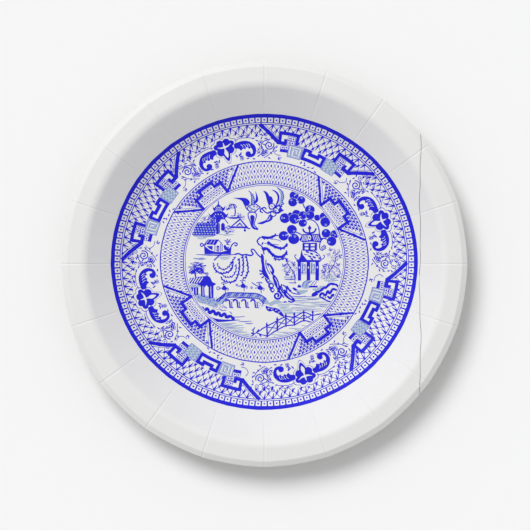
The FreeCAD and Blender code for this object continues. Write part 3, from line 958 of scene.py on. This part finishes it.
def willow_fronds(pen):
    """The hanging branches of the leaning tree between the bridge and the water."""
    pen.curves(1, [(-19.6, 4.9), (-16.9, 5.5), (-14.6, 4.6), (-12.1, 4.9), (-10, 4.4), (-8.2, 4.4)])
    pen.curves(0.9, [(-8.6, 4.4), (-7.4, 5.2), (-8.6, 7.4), (-7.9, 8.5), (-6.6, 8), (-4.6, 5.2),
            (-1.9, 2.8)])
    lumpy(pen, [(1.1, 16.8), (-2.2, 16.7), (-4.4, 14.9), (-4.6, 13.4), (-3.4, 11.6)], 0.8)
    pen.curves(0.9, [(-3.8, 12), (-1.9, 10.6), (-0.5, 8), (-0.2, 4)], [(-1.6, 11.6), (-0.9, 13.2)])
    fronded(pen, [(-1.5, 16.8), (2.6, 16.3), (5, 16.9), (7.9, 18.4)], 1.9, 1.4)
    fronded(pen, [(2.2, 13.6), (4.8, 11.4), (7.6, 9.9), (11.1, 9.2), (13.6, 10.3), (15.2, 12.2)], 1.7, 1.4)
    fronded(pen, [(-1.5, 8.3), (0.3, 9.1), (2.2, 8.6), (4.6, 5.6), (7.6, 3.6), (11.1, 3.4), (13.2, 4.6),
            (14.7, 7)], 2, 1.4)
    fronded(pen, [(6, 2.2), (10.4, 1.4), (13.4, 2.6), (15.4, 0.2)], 0.9, 1.2)
    pen.curves(0.4, [(-0.2, 12.6), (2.4, 12.4), (5.6, 11.9), (9.4, 11.4)], [(4, 15.4), (8.2, 15),
            (11, 13.8)])
    hanging = ([(-20.3, 0.4), (-20.8, -3.3), (-23, -6.6), (-27.1, -7.8), (-30.6, -6.9), (-32.8, -4.2),
            (-33, -1.4)], [(-16.5, 2.4), (-16.3, -3), (-16.9, -8), (-18.6, -12.2), (-21.9, -13.8),
            (-25.7, -13.2), (-28.6, -10.6)], [(-14.2, 4.2), (-13.7, 0), (-13.8, -5.4), (-14.8, -9.8)],
            [(-12, 4.2), (-10.9, -1), (-10.7, -6.4), (-11.9, -10.2), (-13.9, -11.4)])
    for branch in hanging:
        fronded(pen, branch, 0.95, 1.1)
    for branch in ([(-18.6, 3.4), (-20.8, 0.6), (-22.6, -2.6), (-25.6, -5.2), (-29, -4.4), (-31, -1.6)],
            [(-18.4, -1.6), (-18.6, -6), (-20.8, -9.8), (-24.6, -10.6), (-27.4, -8.8)]):
        fronded(pen, branch, 0.55, 0.9)


def willow_trunk(pen, pale):
    """Its leaning trunk with bark, knots and roots."""
    trunk = [(-1.9, 5), (-1.9, -2), (-1.1, -5.4), (0.6, -9), (2.8, -13.4), (5.2, -18), (8.4, -22.6),
            (11, -27), (19.5, -26.4), (16.4, -23.4), (12.6, -18.6), (9.8, -13.6), (6.6, -8), (5, -3),
            (2.6, 0.6), (0.2, 4.8)]
    pen.shape(trunk, PAPER)
    pen.shape([(-2, 5.4), (-0.4, 4), (-0.2, -0.4), (0.6, -4.4), (1.8, -7.6), (3.2, -11), (3, -12.8),
            (0.8, -10.6), (-0.4, -9.4), (-1.4, -7), (-1.6, -2.8), (-2.3, 0.8)])
    pen.curves(1, [(-1.4, -6.6), (-3.2, -5.8)], [(-1.2, -8), (-3, -8.4)], [(-0.2, -10), (-1.8, -10.8)])
    pen.curves(0.6, [(1.2, 1.4), (1, -2), (2.2, -5.6), (3.8, -8.4)])
    pen.shape([(1.4, -1), (3.4, -1.2), (5.4, -3.4), (6.6, -6.6), (5.4, -9), (4.2, -7.2), (3.2, -4.4)])
    pen.shape([(2.8, -2.2), (4, -3.6), (5, -6.2), (4.4, -6.4), (3.4, -4.6)], PAPER)
    pen.shape([(5.2, -8.4), (7.2, -9.4), (8.8, -12), (10, -15.4), (11, -18), (9.4, -20), (7.6, -16.6),
            (6.8, -12.8)])
    pen.curves(0.4, [(6.9, -10.8), (8.4, -14), (9.2, -17.4)], ink=PAPER)
    pale.shape([(1, -11.2), (3.4, -12.2), (6.6, -15), (5.4, -17), (2.4, -14.8)])
    for u, v, radius in ((2.4, -12.8, 1.3), (4.4, -16.2, 1.9), (5.4, -19.2, 1.5)):
        pen.dot(u, v, radius)
        pen.dot(u + 0.2, v + 0.1, 0.5 * radius, PAPER)
    pen.curves(0.8, [(0.4, -10.8), (1.6, -13.4), (3.4, -15.2)], [(3.6, -18), (4.6, -20), (6, -20.8)])
    spiral(pen.at(8.5, -23), 1.5, 3, 1.25)
    pen.shape([(13.2, -18.6), (15.6, -21), (17.8, -23.2), (20, -25.6), (18.6, -26.6), (15.4, -25),
            (12.8, -22.4)])
    pen.curves(0.5, [(14.6, -21.4), (16.4, -23.6), (18, -25)], ink=PAPER)
    pen.curves(0.95, [(11.4, -15), (11, -18), (12.4, -21), (14.6, -20.6), (14.2, -17.4), (12.2, -15.6)],
            [(15.6, -26.6), (18, -27.4), (20.2, -26.2)], [(12.6, -27.4), (14.4, -27)], [(5.6, -10),
            (7.4, -15.6), (10.6, -20.8), (12.8, -24.4)])


FRUITS = ((19.5, 45.1, 2.85), (24.1, 41.9, 2.5), (18.6, 40.4, 2.8), (13.5, 29.6, 3.15), (17.1, 32.1, 1.4),
        (21, 32.6, 2.6), (19.7, 29.2, 3.3), (25.2, 26.5, 2.6), (25.2, 31.6, 2.6), (29.8, 35.3, 3),
        (30.1, 31.7, 2.6), (34.7, 29.9, 2), (38.9, 30.9, 2.6), (39.9, 26.9, 3.1), (18.1, 21.8, 3.1),
        (12.7, 17.6, 3.1), (19.2, 15.5, 3.4), (40.5, 19.3, 2.8), (46, 18.7, 2.7), (44.1, 14, 3))


def fruits(pen, pale):
    """Round fruits in clusters on curved stems."""
    pen.curves(0.75, [(22.6, 39.6), (25.1, 39.7), (26.4, 36.9), (28.4, 34.6)], [(27.6, 28.6), (31.2, 28.5),
            (33.9, 26.3), (35.6, 22.8), (36.3, 18.6), (37.4, 14.8)], [(37.2, 14.8), (38.2, 16),
            (40.1, 15.7), (42.6, 14.6)], [(37.4, 15), (36.4, 12), (36.6, 8.6), (38.6, 7.6)], [(15, 21),
            (18, 18.6), (21, 20), (25, 17.9)])
    spiral(pen.at(38.7, 9.7), 1.5, 1.7, 0.6)
    for index, (u, v, radius) in enumerate(FRUITS):
        pen.dot(u, v, 1.06 * radius + 0.16, PAPER)
        pen.dot(u, v, 1.06 * radius)
        for arc in range(2 if radius > 2 else 0):
            reach = radius * (0.45 + 0.25 * arc)
            turn = math.radians(30 + 47 * index)
            bends = (turn - 0.4, turn, turn + 0.4)
            line = [(u + reach * math.cos(bend), v + reach * math.sin(bend)) for bend in bends]
            pale.stroke(line, 0.5 - 0.15 * arc)
        if index % 3 == 0:
            pen.dot(u + 0.4 * math.cos(index), v + 0.5 * math.sin(index), 0.4, PAPER)
    for u, v in ((21.7, 41), (22.2, 28.4), (23.2, 30.4), (15.5, 18.6), (17, 17.6), (23.6, 28.6)):
        pen.curves(0.5, [(u - 0.7, v - 0.5), (u, v + 0.2), (u + 0.9, v - 0.1)], ink=PAPER)


def pavilion_roof(pen):
    """A horned crest, a striped roof and the upper storey of the pavilion."""
    pen.lines(1, [(29.6, 24.6), (29.7, 20)])
    pen.fill([(29.7, 24.9), (31, 22.9), (29.7, 20.9), (28.4, 22.9)])
    pen.curves(1.1, [(25.2, 22.6), (25.9, 20.9), (27.3, 19.8), (29.9, 19.5), (32.1, 19.9), (33.2, 21),
            (33.8, 22.8)])
    pen.fill([(25.1, 18.9), (36, 18.9), (38, 15.2), (37, 12.9), (30.9, 13.8), (25.2, 13.2), (22.6, 14.8)])
    for step in range(5):
        u = 31.6 + 1.15 * step
        pen.lines(0.38, [(u, 18.3), (u + 1.4, 14)], ink=PAPER)
    for step in range(5):
        u = 25 + 0.95 * step
        pen.lines(0.42, [(u + 0.4, 18.2), (u - 0.5, 14.2)], ink=PAPER)
    pen.dot(29.7, 16.4, 1, PAPER, tall=1.7)
    pen.dot(29.7, 16.4, 0.45, tall=1.7)
    pen.curves(0.6, [(22.6, 14.6), (21.8, 16), (22.8, 16.6)], [(37.8, 14.8), (38.8, 16.4)])
    for u in (25.7, 29.7, 33.8):
        pen.block(u - 0.75, u + 0.75, 7.6, 12.6)
    for v in (12.5, 10.2, 7.9):
        pen.block(25.2, 34.4, v - 0.45, v + 0.45)


def pavilion_porch(pen):
    """The lower roof with its stones and curled ends."""
    pen.fill([(22, 0.6), (23.6, 3.4), (24.4, 8.6), (25.2, 4.8), (27.6, 1.8), (28, 0.6)])
    pen.fill([(20.6, 1.2), (37.6, 1.2), (36.4, -0.2), (21.6, -0.2)])
    for u, v, length in ((28.2, 6.6, 2), (30.9, 5.4, 1.9), (29.7, 3.6, 2), (32.6, 3.1, 2.2),
            (34.6, 4.3, 1.7), (33.6, 6.6, 1.7), (31, 1.9, 1.6), (36.2, 2.4, 1.4)):
        pen.lines(1.05, [(u - length / 2, v + 0.45), (u + length / 2, v - 0.45)])
    pen.curves(0.55, [(22.4, 1.4), (20.6, 2.4), (20, 4.2), (21.2, 4.8)], [(36.8, 1.4), (38.8, 2.4),
            (39.4, 4), (38.4, 4.6)], [(25.6, 7.8), (31, 7.2), (35.4, 5.4), (37.2, 2.2)], [(26, 5),
            (28.4, 4.6)])


def pavilion_columns(pen, pale):
    """Three columns with curtains between them."""
    for left, right in ((21.9, 24), (27.7, 30), (33.5, 35.8)):
        pen.block(left, right, -12.7, 0.9)
        pen.dot((left + right) / 2, -3.8, 0.42, PAPER, tall=1.9)
    for left in (24, 30):
        pale.block(left + 0.4, left + 1.7, -7.6, -0.6)
        pale.block(left + 2.2, left + 3.2, -6.6, -1.4)
        pen.curves(0.35, [(left + 0.6, -0.8), (left + 1, -4.6), (left + 0.7, -8.2)], [(left + 1.4, -2.8),
                (left + 2.6, -1.8), (left + 2.5, -4.6), (left + 1.8, -6)], [(left, -7), (left + 3.6, -7.2)],
                [(left + 0.2, -8.3), (left + 3.4, -8.2)])


def pavilion_steps(pen, pale):
    """The steps down to the water and the bank round them."""
    pale.shape([(24.8, -17.6), (25.2, -14.2), (28.4, -12.6), (30.4, -12.9), (29, -15.2), (29.4, -17.8)])
    pen.curves(0.42, [(25, -16.6), (26, -13.8), (28.6, -12.4)], [(27.2, -17.4), (27.6, -15), (29.4, -13.4)],
            [(30.4, -16), (33, -12.9)], [(32.4, -16), (34.6, -13.2)], [(29, -14.4), (31.4, -12.9)])
    pen.fill([(29.3, -16.2), (35.4, -16.2), (34.6, -17.5), (29.3, -17.4)])
    pen.shape([(21.8, -17.4), (22.4, -15.6), (23.8, -16), (24.2, -17.2)])
    lumpy(pen, [(14.8, -16.6), (16, -18.6), (17.4, -19.9)], 1.1)
    lumpy(pen, [(19, -18), (20.8, -19), (22.6, -20.8)], 1.2)
    pen.curves(0.7, [(11.6, -17), (12.6, -19.6), (14.6, -21)], [(17.6, -20.8), (20, -21.6), (23.4, -21.8),
            (24.6, -20.4)])
    level_lines(pen, [(13, 20.6, -11.8), (16, 21, -14), (18.4, 27.4, -23.4)], 0.6)
    for u, v in ((34, -18.6), (35.6, -19.4), (37, -17.8), (38.6, -16.6), (23.4, -19.6), (25.4, -20.6),
            (27, -19.4)):
        level_lines(pale, [(u - 2.4, u + 1.6, v)], 1.5)


def gardens(pen, pale):
    """Bushes beside the pavilion."""
    scribbled(pen, (46, 5.2), 4.6, 3.6, 62, 7, 0.4)
    scribbled(pen, (43.6, -8.2), 6.6, 5.6, 150, 8, 0.36)
    scribbled(pen, (16.8, -5.6), 4.6, 6.4, 120, 9, 0.36)
    scribbled(pen, (45, -1.4), 5, 3, 40, 18, 0.36)
    pen.curves(0.5, [(46.8, 3.4), (46.2, -1), (44.4, -4), (42.6, -6.6)], [(46, 4), (48.4, 6.6)],
            [(45.4, -2.6), (48.8, -5), (49.6, -8)], [(41.8, -2.4), (42.6, -6.6), (42.2, -10.2)], [(14, 1.6),
            (15.8, -2.2), (18.2, -6), (20.8, -11.4)], [(19.4, -6), (20.2, -15)])
    for u, v, turn in ((38.6, -4, 20), (39.4, -8, -30), (47.6, -10.6, 40), (49, -3, -40), (13.4, -3.6, -40),
            (18.6, -2.4, 30), (14.6, -9.4, 10), (43.6, 7, -20), (48.6, 3.4, 60)):
        sprig(pen.at(u, v, turn), 1)
    level_lines(pale, [(38, 48, -11), (39, 49, -12.6), (38.6, 45, -9.6), (12.8, 20, -10.6)], 0.8)


def islet(pen, pale):
    """Wavy heavy bands of rock at the right."""
    lumpy(pen, [(31.6, -23), (32.9, -21.2), (36.7, -19.8), (38.4, -18), (40.8, -17), (42.8, -15.2),
            (45.9, -15.2), (49.2, -17)], 1.35)
    lumpy(pen, [(36.3, -23.4), (37.7, -21.2), (40.1, -22.7), (41.4, -19.8), (43.1, -21.4), (44.5, -18.6),
            (46.6, -18.8), (48.3, -19.9)], 1.25)
    lumpy(pen, [(41.6, -23.6), (43.4, -24.6), (44.6, -22.4), (46.4, -23), (47.2, -21.4)], 1.2)
    pen.curves(1, [(36.3, -23.8), (40.4, -25.9), (42.8, -27), (44.9, -26.8)])
    pen.shape([(31.4, -22.4), (34.2, -21.2), (35.4, -22), (33.2, -23.4), (31.4, -23.4)])
    pen.curves(0.5, [(38.2, -24.2), (39, -22.8)], [(39.8, -24.8), (40.4, -23.4)])
    level_lines(pen, [(30.6, 46, -28.4), (28, 36, -25.4), (36, 44, -30.2)], 0.4)


def pine(pen):
    pen.stroke([(-45.6, -3.4), (-45.4, -7), (-44.8, -10.6)], 0.9)
    strewn = random.Random(10)
    for index in range(76):
        v = -0.4 - 7.8 * index / 76
        half = 5.6 - 0.14 * (v + 4.2) ** 2
        u = -44.6 + strewn.uniform(-half, half) * 0.8
        length = strewn.uniform(1.6, 3.6)
        tilt = strewn.uniform(-0.6, 0.9)
        pen.stroke([(u - length / 2, v - tilt), (u, v), (u + length / 2, v + tilt)], 0.7, ends=(0.5, 0.3))
    lumpy(pen, [(-47.6, -6.6), (-45, -5.6), (-42.4, -4.4), (-40.2, -6.4)], 1.3)
    pen.curves(0.8, [(-42, -3.2), (-38, -2.6)], [(-41.6, -7.2), (-38.4, -7.8)], [(-49.6, -7.4),
            (-46.6, -6.8)])


def teahouse(pen, pale):
    """A domed summerhouse with an arch, a striped annex, and the bank it stands on."""
    pale.shape([(-46, -21), (-40, -22.4), (-33.6, -24), (-30.4, -29.2), (-33.4, -30.6), (-38, -29),
            (-43, -27.2), (-46.4, -24.6)])
    scribbled(pen, (-38, -25.6), 6.6, 2.8, 60, 11, 0.36)
    scribbled(pen, (-29.6, -30.4), 4.6, 2.6, 34, 12, 0.36)
    pen.circle(-37.6, -8.2, 0.75, 0.6)
    pen.fill([(-49.9, -14.4), (-48.6, -10.9), (-38.4, -9.6), (-42.4, -15)])
    for step in range(5):
        u = -48.6 + 1.7 * step
        pen.lines(0.62, [(u - 0.9, -14.2), (u + 1.5, -10.6)], ink=PAPER)
    pale.block(-48.8, -41.4, -17, -15.2)
    pen.block(-46.2, -43.2, -22.4, -17.2)
    pen.lines(0.45, [(-44.7, -17.8), (-44.7, -21.8)], ink=PAPER)
    pen.fill([(-48.6, -17.2), (-46.4, -17.2), (-46.8, -20.4)])
    pen.fill([(-43.6, -15.4), (-41.6, -13.2), (-39.9, -10.4), (-37.6, -9.2), (-35.4, -10.6), (-34, -13.6),
            (-31.4, -15), (-33.2, -16.2), (-33.4, -24.6), (-36.6, -25), (-36.4, -17.4), (-37.8, -15.8),
            (-39.2, -17.4), (-39, -24), (-41.4, -23.4), (-41.6, -16.2)])
    pen.lines(0.4, [(-40.2, -16.4), (-40.1, -23.2)], [(-35, -16.6), (-34.9, -24.2)], ink=PAPER)
    scribbled(pen, (-46.6, -23.2), 2.6, 1.6, 14, 13)


def bridge(pen, pale):
    """The arched footbridge with three small figures crossing it."""
    deck = [(-32.6, -27), (-28.6, -24), (-25, -21.3), (-18.2, -21), (-11.4, -21.2), (-3.6, -22),
            (1.4, -25.2), (3.6, -28.6), (-0.4, -28.4), (-4.6, -24.9), (-14.8, -24.2), (-24, -24.4),
            (-27.6, -28.4), (-30.4, -28.8)]
    pale.shape(deck)
    pen.curves(0.75, deck[:7])
    pen.curves(0.6, deck[8:13])
    rail = curved(deck[:7], steps=6)
    for index, ((u, v), (_, low)) in enumerate(zip(rail[1:], rail)):
        drop = 2.5 + 0.9 * (u > -3)
        if index % 4 < 3:
            pen.lines(0.45 + 0.3 * (index % 2), [(u - 1.2, low - drop), (u + 0.6, v - 0.2)])
    pen.curves(0.35, [(-24.4, -26.6), (-20.4, -25.4), (-14, -24.6), (-6, -25.2)])
    for u in (-23.7, -18.6, -13.1, -7):
        pen.curves(1.05, [(u - 1.9, -27), (u - 1, -25.8), (u + 0.6, -26.2), (u + 1, -28.4),
                (u + 1.2, -30.9)])
        pen.curves(0.6, [(u + 0.8, -30.9), (u + 3.4, -31.2)], [(u + 2.2, -27), (u + 2.4, -30.8)])
    scribbled(pen, (-2.2, -28.6), 2.6, 2.2, 26, 14, 0.4)
    for u, v in ((-26.2, -17.6), (-13.9, -16.1), (-2.8, -17.4)):
        pen.shape([(u - 1.5, v - 1), (u - 1, v + 0.9), (u, v + 1.7), (u + 1.2, v + 0.6), (u + 1.9, v - 1.2),
                (u + 0.2, v - 1.6)])
        pen.dot(u - 0.5, v + 2.3, 0.62)
        pen.curves(0.55, [(u - 2.2, v + 3.1), (u - 0.2, v + 3.5), (u + 1.6, v + 2.9)], [(u + 0.6, v - 1.2),
                (u + 0.8, v - 3.8)], [(u + 1, v), (u + 2.6, v - 0.6), (u + 2.3, v - 2.2)], [(u - 1, v),
                (u - 3.4, v - 0.5)])
    pen.circle(-30.2, -17.9, 1, 0.5)
    pen.circle(-18, -15.6, 0.6, 0.5)
    pen.circle(-8.4, -17.5, 0.6, 0.5)
    pen.curves(0.6, [(-8.4, -13.9), (-5.6, -15.7), (-3.4, -17)])


def rocks(pen, pale):
    """The stepped rocks at the left shore and the water under them."""
    lumpy(pen, [(-40.9, -31), (-39, -33), (-37.3, -31.6), (-35.6, -34.7), (-33.6, -33), (-31.5, -35.8),
            (-30.1, -34.4), (-28.1, -36.7), (-26.1, -35.1), (-24.4, -37.8), (-22.7, -36.7),
            (-19.9, -38.6)], 1.6)
    pen.shape([(-36.6, -36.2), (-33.4, -38), (-28.6, -39), (-22, -39.2), (-15.4, -39.4), (-22.8, -40.3),
            (-29.2, -40.8), (-33.6, -40.3)])
    pen.curves(0.45, [(-29.6, -32), (-27, -33.2), (-25, -32.6)], [(-27, -29.8), (-24.4, -31.6)],
            [(-22.6, -33.8), (-21, -35.6)])
    level_lines(pen, [(-17.2, -8, -40.3), (-12.6, -7.2, -41.6), (-24, -12.6, -37.2)], 0.5)
    level_lines(pale, [(-34, -18, -41.6), (-32.6, -14, -43.2), (-30, -13, -44.8), (-27.6, -14, -46.2),
            (-24, -11, -47.6), (-20, -9, -49), (-14, -6.4, -50.2)], 0.9)
    level_lines(pen, [(-31.6, -20.6, -42.4), (-28.4, -18, -44.2), (-24.8, -13.6, -46.9),
            (-18.6, -10, -49.6)], 0.28)


def middle_rocks(pen, pale):
    """The rock edge in the middle, with its water."""
    pale.shape([(3.4, -28), (7, -26.2), (12, -26), (12.8, -27.6), (8, -28.4), (4.2, -30)])
    for row in range(7):
        left = 8 + 0.7 * row
        level_lines(pale, [(left, left + 9 - row % 3, -28.6 - 1.05 * row)], 0.7)
    pen.shape([(0.8, -30), (3, -30.4), (5.4, -31), (8.4, -31.6), (10.4, -32.8), (11.8, -34.8),
            (13.2, -37.4), (10.8, -36.6), (9, -35), (7, -34.4), (5.6, -33.2), (3.6, -33.8), (1.6, -32.6)])
    for u, v in ((2.6, -31.7), (4.8, -32.2), (7.6, -33), (9.6, -34.2)):
        pen.dot(u, v, 0.4, PAPER)
        pen.curves(0.3, [(u + 0.5, v + 0.6), (u + 1.2, v + 0.2)], ink=PAPER)
    pen.dot(14.4, -26.8, 0.9)
    level_lines(pen, [(16, 30, -26), (15, 26, -28.6), (17.6, 33.6, -31), (20, 28, -33), (27.6, 40, -33.2),
            (24, 34, -23.4)], 0.32)
    level_lines(pale, [(17, 40, -24.6), (18, 43, -27.2), (20, 42, -29.6), (18, 38, -32), (16, 26, -34.4),
            (6, 18, -26.2)], 0.85)


def fence(pen, pale):
    """The rail fence in front, with crossed braces."""
    posts = ((1.7, -41, -51.4), (8.4, -37.3, -47), (14, -34.8, -44.2), (19.6, -34.1, -43.4),
            (25.8, -32.6, -40.6), (31.6, -32.8, -41.4))
    for u, top, bottom in posts:
        pen.stroke([(u, top), (u + 0.2, bottom)], 1, curve=False, ends=(0.5, 1), middle=1)
        pen.dot(u, top - 1.6, 0.8)
    for (u, top, bottom), (next_u, next_top, next_bottom) in zip(posts, posts[1:]):
        pen.lines(0.62, [(u, top - 3.2), (next_u, next_bottom + 1.8)], [(u, bottom + 1.8),
                (next_u, next_top - 3.2)])
    pen.curves(0.8, [(-2, -45.8), (1.7, -43.7), (8.4, -40), (14, -37.3), (19.6, -37.4), (25.8, -34.3),
            (31.6, -36.2), (37.6, -35.2)], [(0.6, -51.5), (8.4, -46.3), (14, -43.5), (19.6, -42.8),
            (25.8, -40), (31.6, -41), (36.2, -38)])
    pen.curves(0.7, [(-9.4, -51.2), (-6.3, -48.8), (-1.6, -45.8)], [(-4.9, -48.4), (-1, -49.6), (1.6, -50)],
            [(-6.8, -49.4), (-7.2, -46.4), (-6, -44.4)], [(-5.4, -48.4), (-3.6, -45.8)])
    for u, v, turn in ((-7, -49.2, -60), (-6.8, -47.4, -40), (-4.4, -47.8, 20), (-3.4, -49.2, 130),
            (-5.4, -50, 170)):
        leaf(pen.at(u, v, turn), 2, 0.9)
    level_lines(pale, [(4, 22, -49.4), (8, 26, -47.6), (16, 30, -45.2), (24, 32.6, -43.2),
            (10, 18, -51)], 0.8)
    level_lines(pen, [(6, 14, -50.6), (12, 22, -48.4), (20, 28.6, -46.2)], 0.3)


# ---- The whole print

FRET_ANGLES = (24.4, 116.4, 208, 297)
FLOWER_ANGLES = (70, 161, 252.3, 341.4)
STEP_ANGLES = (54.5, 143.6, 233.2, 322.5)


def draw_border():
    drawing = Drawing()
    drawing.support(WELL_RADIUS - 2, 88, 1.5)
    ring = panel_pen(drawing, "", 0)
    net_band(ring.named("print_net"))
    for centre in FRET_ANGLES:
        pen = panel_pen(drawing, "print_frets", centre)
        fret_panel(pen, pen.named("print_pale_blocks"))
    for centre in FLOWER_ANGLES:
        flower_panel(panel_pen(drawing, "print_flowers", centre))
    cell_border(ring.named("print_cells"))
    outer_ring(ring.named("print_outer_ring"))
    return drawing


def draw_inside():
    """The scene, then the ring laid over its edge."""
    drawing = Drawing()

    def place(right, up):
        return PRINT_CENTRE + Vector((PRINT_X * right, PRINT_Y * up))

    pen = Pen(drawing, "print_scene", place)
    pale = pen.named("print_scene_tints", PALE)
    left_bird_wings(pen, pale)
    left_bird_body(pen, pale)
    gate(pen)
    gate_bank(pen, pale)
    hut(pen, pale)
    boat(pen, pale)
    rocks(pen, pale)
    middle_rocks(pen, pale)
    bridge(pen, pale)
    willow_fronds(pen)
    willow_trunk(pen, pale)
    right_bird_wings(pen, pale)
    right_bird_body(pen)
    gardens(pen, pale)
    pavilion_roof(pen)
    pavilion_porch(pen)
    pavilion_columns(pen, pale)
    pavilion_steps(pen, pale)
    fruits(pen, pale)
    islet(pen, pale)
    pine(pen)
    teahouse(pen, pale)
    fence(pen, pale)
    lattice_band(panel_pen(drawing, "print_lattice", 0))
    for centre in STEP_ANGLES:
        pen = panel_pen(drawing, "print_steps", centre)
        step_panel(pen, panel_pen(drawing, "print_steps", centre, 57))
    return drawing


REPLACED = {
    "print_outer_ring": ["ink_outer_ring"],
    "print_cells": ["ink_border_lines"],
    "print_frets": ["ink_fret_panels"],
    "print_pale_blocks": ["ink_pale_blocks"],
    "print_flowers": ["ink_flower_panels"],
    "print_lattice": ["ink_lattice_lines"],
    "print_steps": ["ink_step_panels"],
    "print_scene": ["ink_scene"],
}

lay_on_plate(draw_border(), REPLACED)
lay_on_plate(draw_inside(), REPLACED)


# ---- Floor, light and camera, in metres and degrees

FLOOR_HALF = 1.5
WORLD_STRENGTH = 0.525
SUN_STRENGTH = 1.82
SUN_WIDTH = 31
SUN_ZENITH, SUN_AZIMUTH = 40, -33     # from straight above, and clockwise from the top of the view
CAMERA_HEIGHT = 3.0
CAMERA_X, CAMERA_Y = 0.0003, -0.0006
VIEW_WIDTH = 0.2984         # width of what the camera sees at the height of the rim
RIM_HEIGHT = 0.016
FILM = 36                   # width of the camera's sensor, in millimetres


def make_floor():
    mesh = bpy.data.meshes.new("floor")
    half = FLOOR_HALF
    corners = [(-half, -half, 0), (half, -half, 0), (half, half, 0), (-half, half, 0)]
    mesh.from_pydata(corners, [], [(0, 1, 2, 3)])
    paper = paper_material("floor", (0.957, 0.957, 0.960), (0.952, 0.952, 0.955), 0.9, 300, 0.05)
    mesh.materials.append(paper)
    floor = bpy.data.objects.new("floor", mesh)
    bpy.context.collection.objects.link(floor)


def make_light():
    world = bpy.data.worlds.new("studio")
    bpy.context.scene.world = world
    world.use_nodes = True
    background = world.node_tree.nodes["Background"]
    background.inputs["Color"].default_value = (1, 1, 1, 1)
    background.inputs["Strength"].default_value = WORLD_STRENGTH
    lamp = bpy.data.lights.new("key", "SUN")
    lamp.energy = SUN_STRENGTH
    lamp.angle = math.radians(SUN_WIDTH)
    key = bpy.data.objects.new("key", lamp)
    zenith, azimuth = math.radians(SUN_ZENITH), math.radians(SUN_AZIMUTH)
    across, ahead = math.sin(zenith) * math.sin(azimuth), math.sin(zenith) * math.cos(azimuth)
    toward = Vector((across, ahead, math.cos(zenith)))
    key.rotation_euler = toward.to_track_quat("Z", "Y").to_euler()
    bpy.context.collection.objects.link(key)


def make_camera():
    data = bpy.data.cameras.new("camera")
    data.sensor_width = FILM
    data.lens = FILM * (CAMERA_HEIGHT - RIM_HEIGHT) / VIEW_WIDTH
    camera = bpy.data.objects.new("camera", data)
    camera.location = (CAMERA_X, CAMERA_Y, CAMERA_HEIGHT)
    bpy.context.collection.objects.link(camera)
    bpy.context.scene.camera = camera


make_floor()
make_light()
make_camera()
bpy.context.scene.view_settings.view_transform = "Standard"
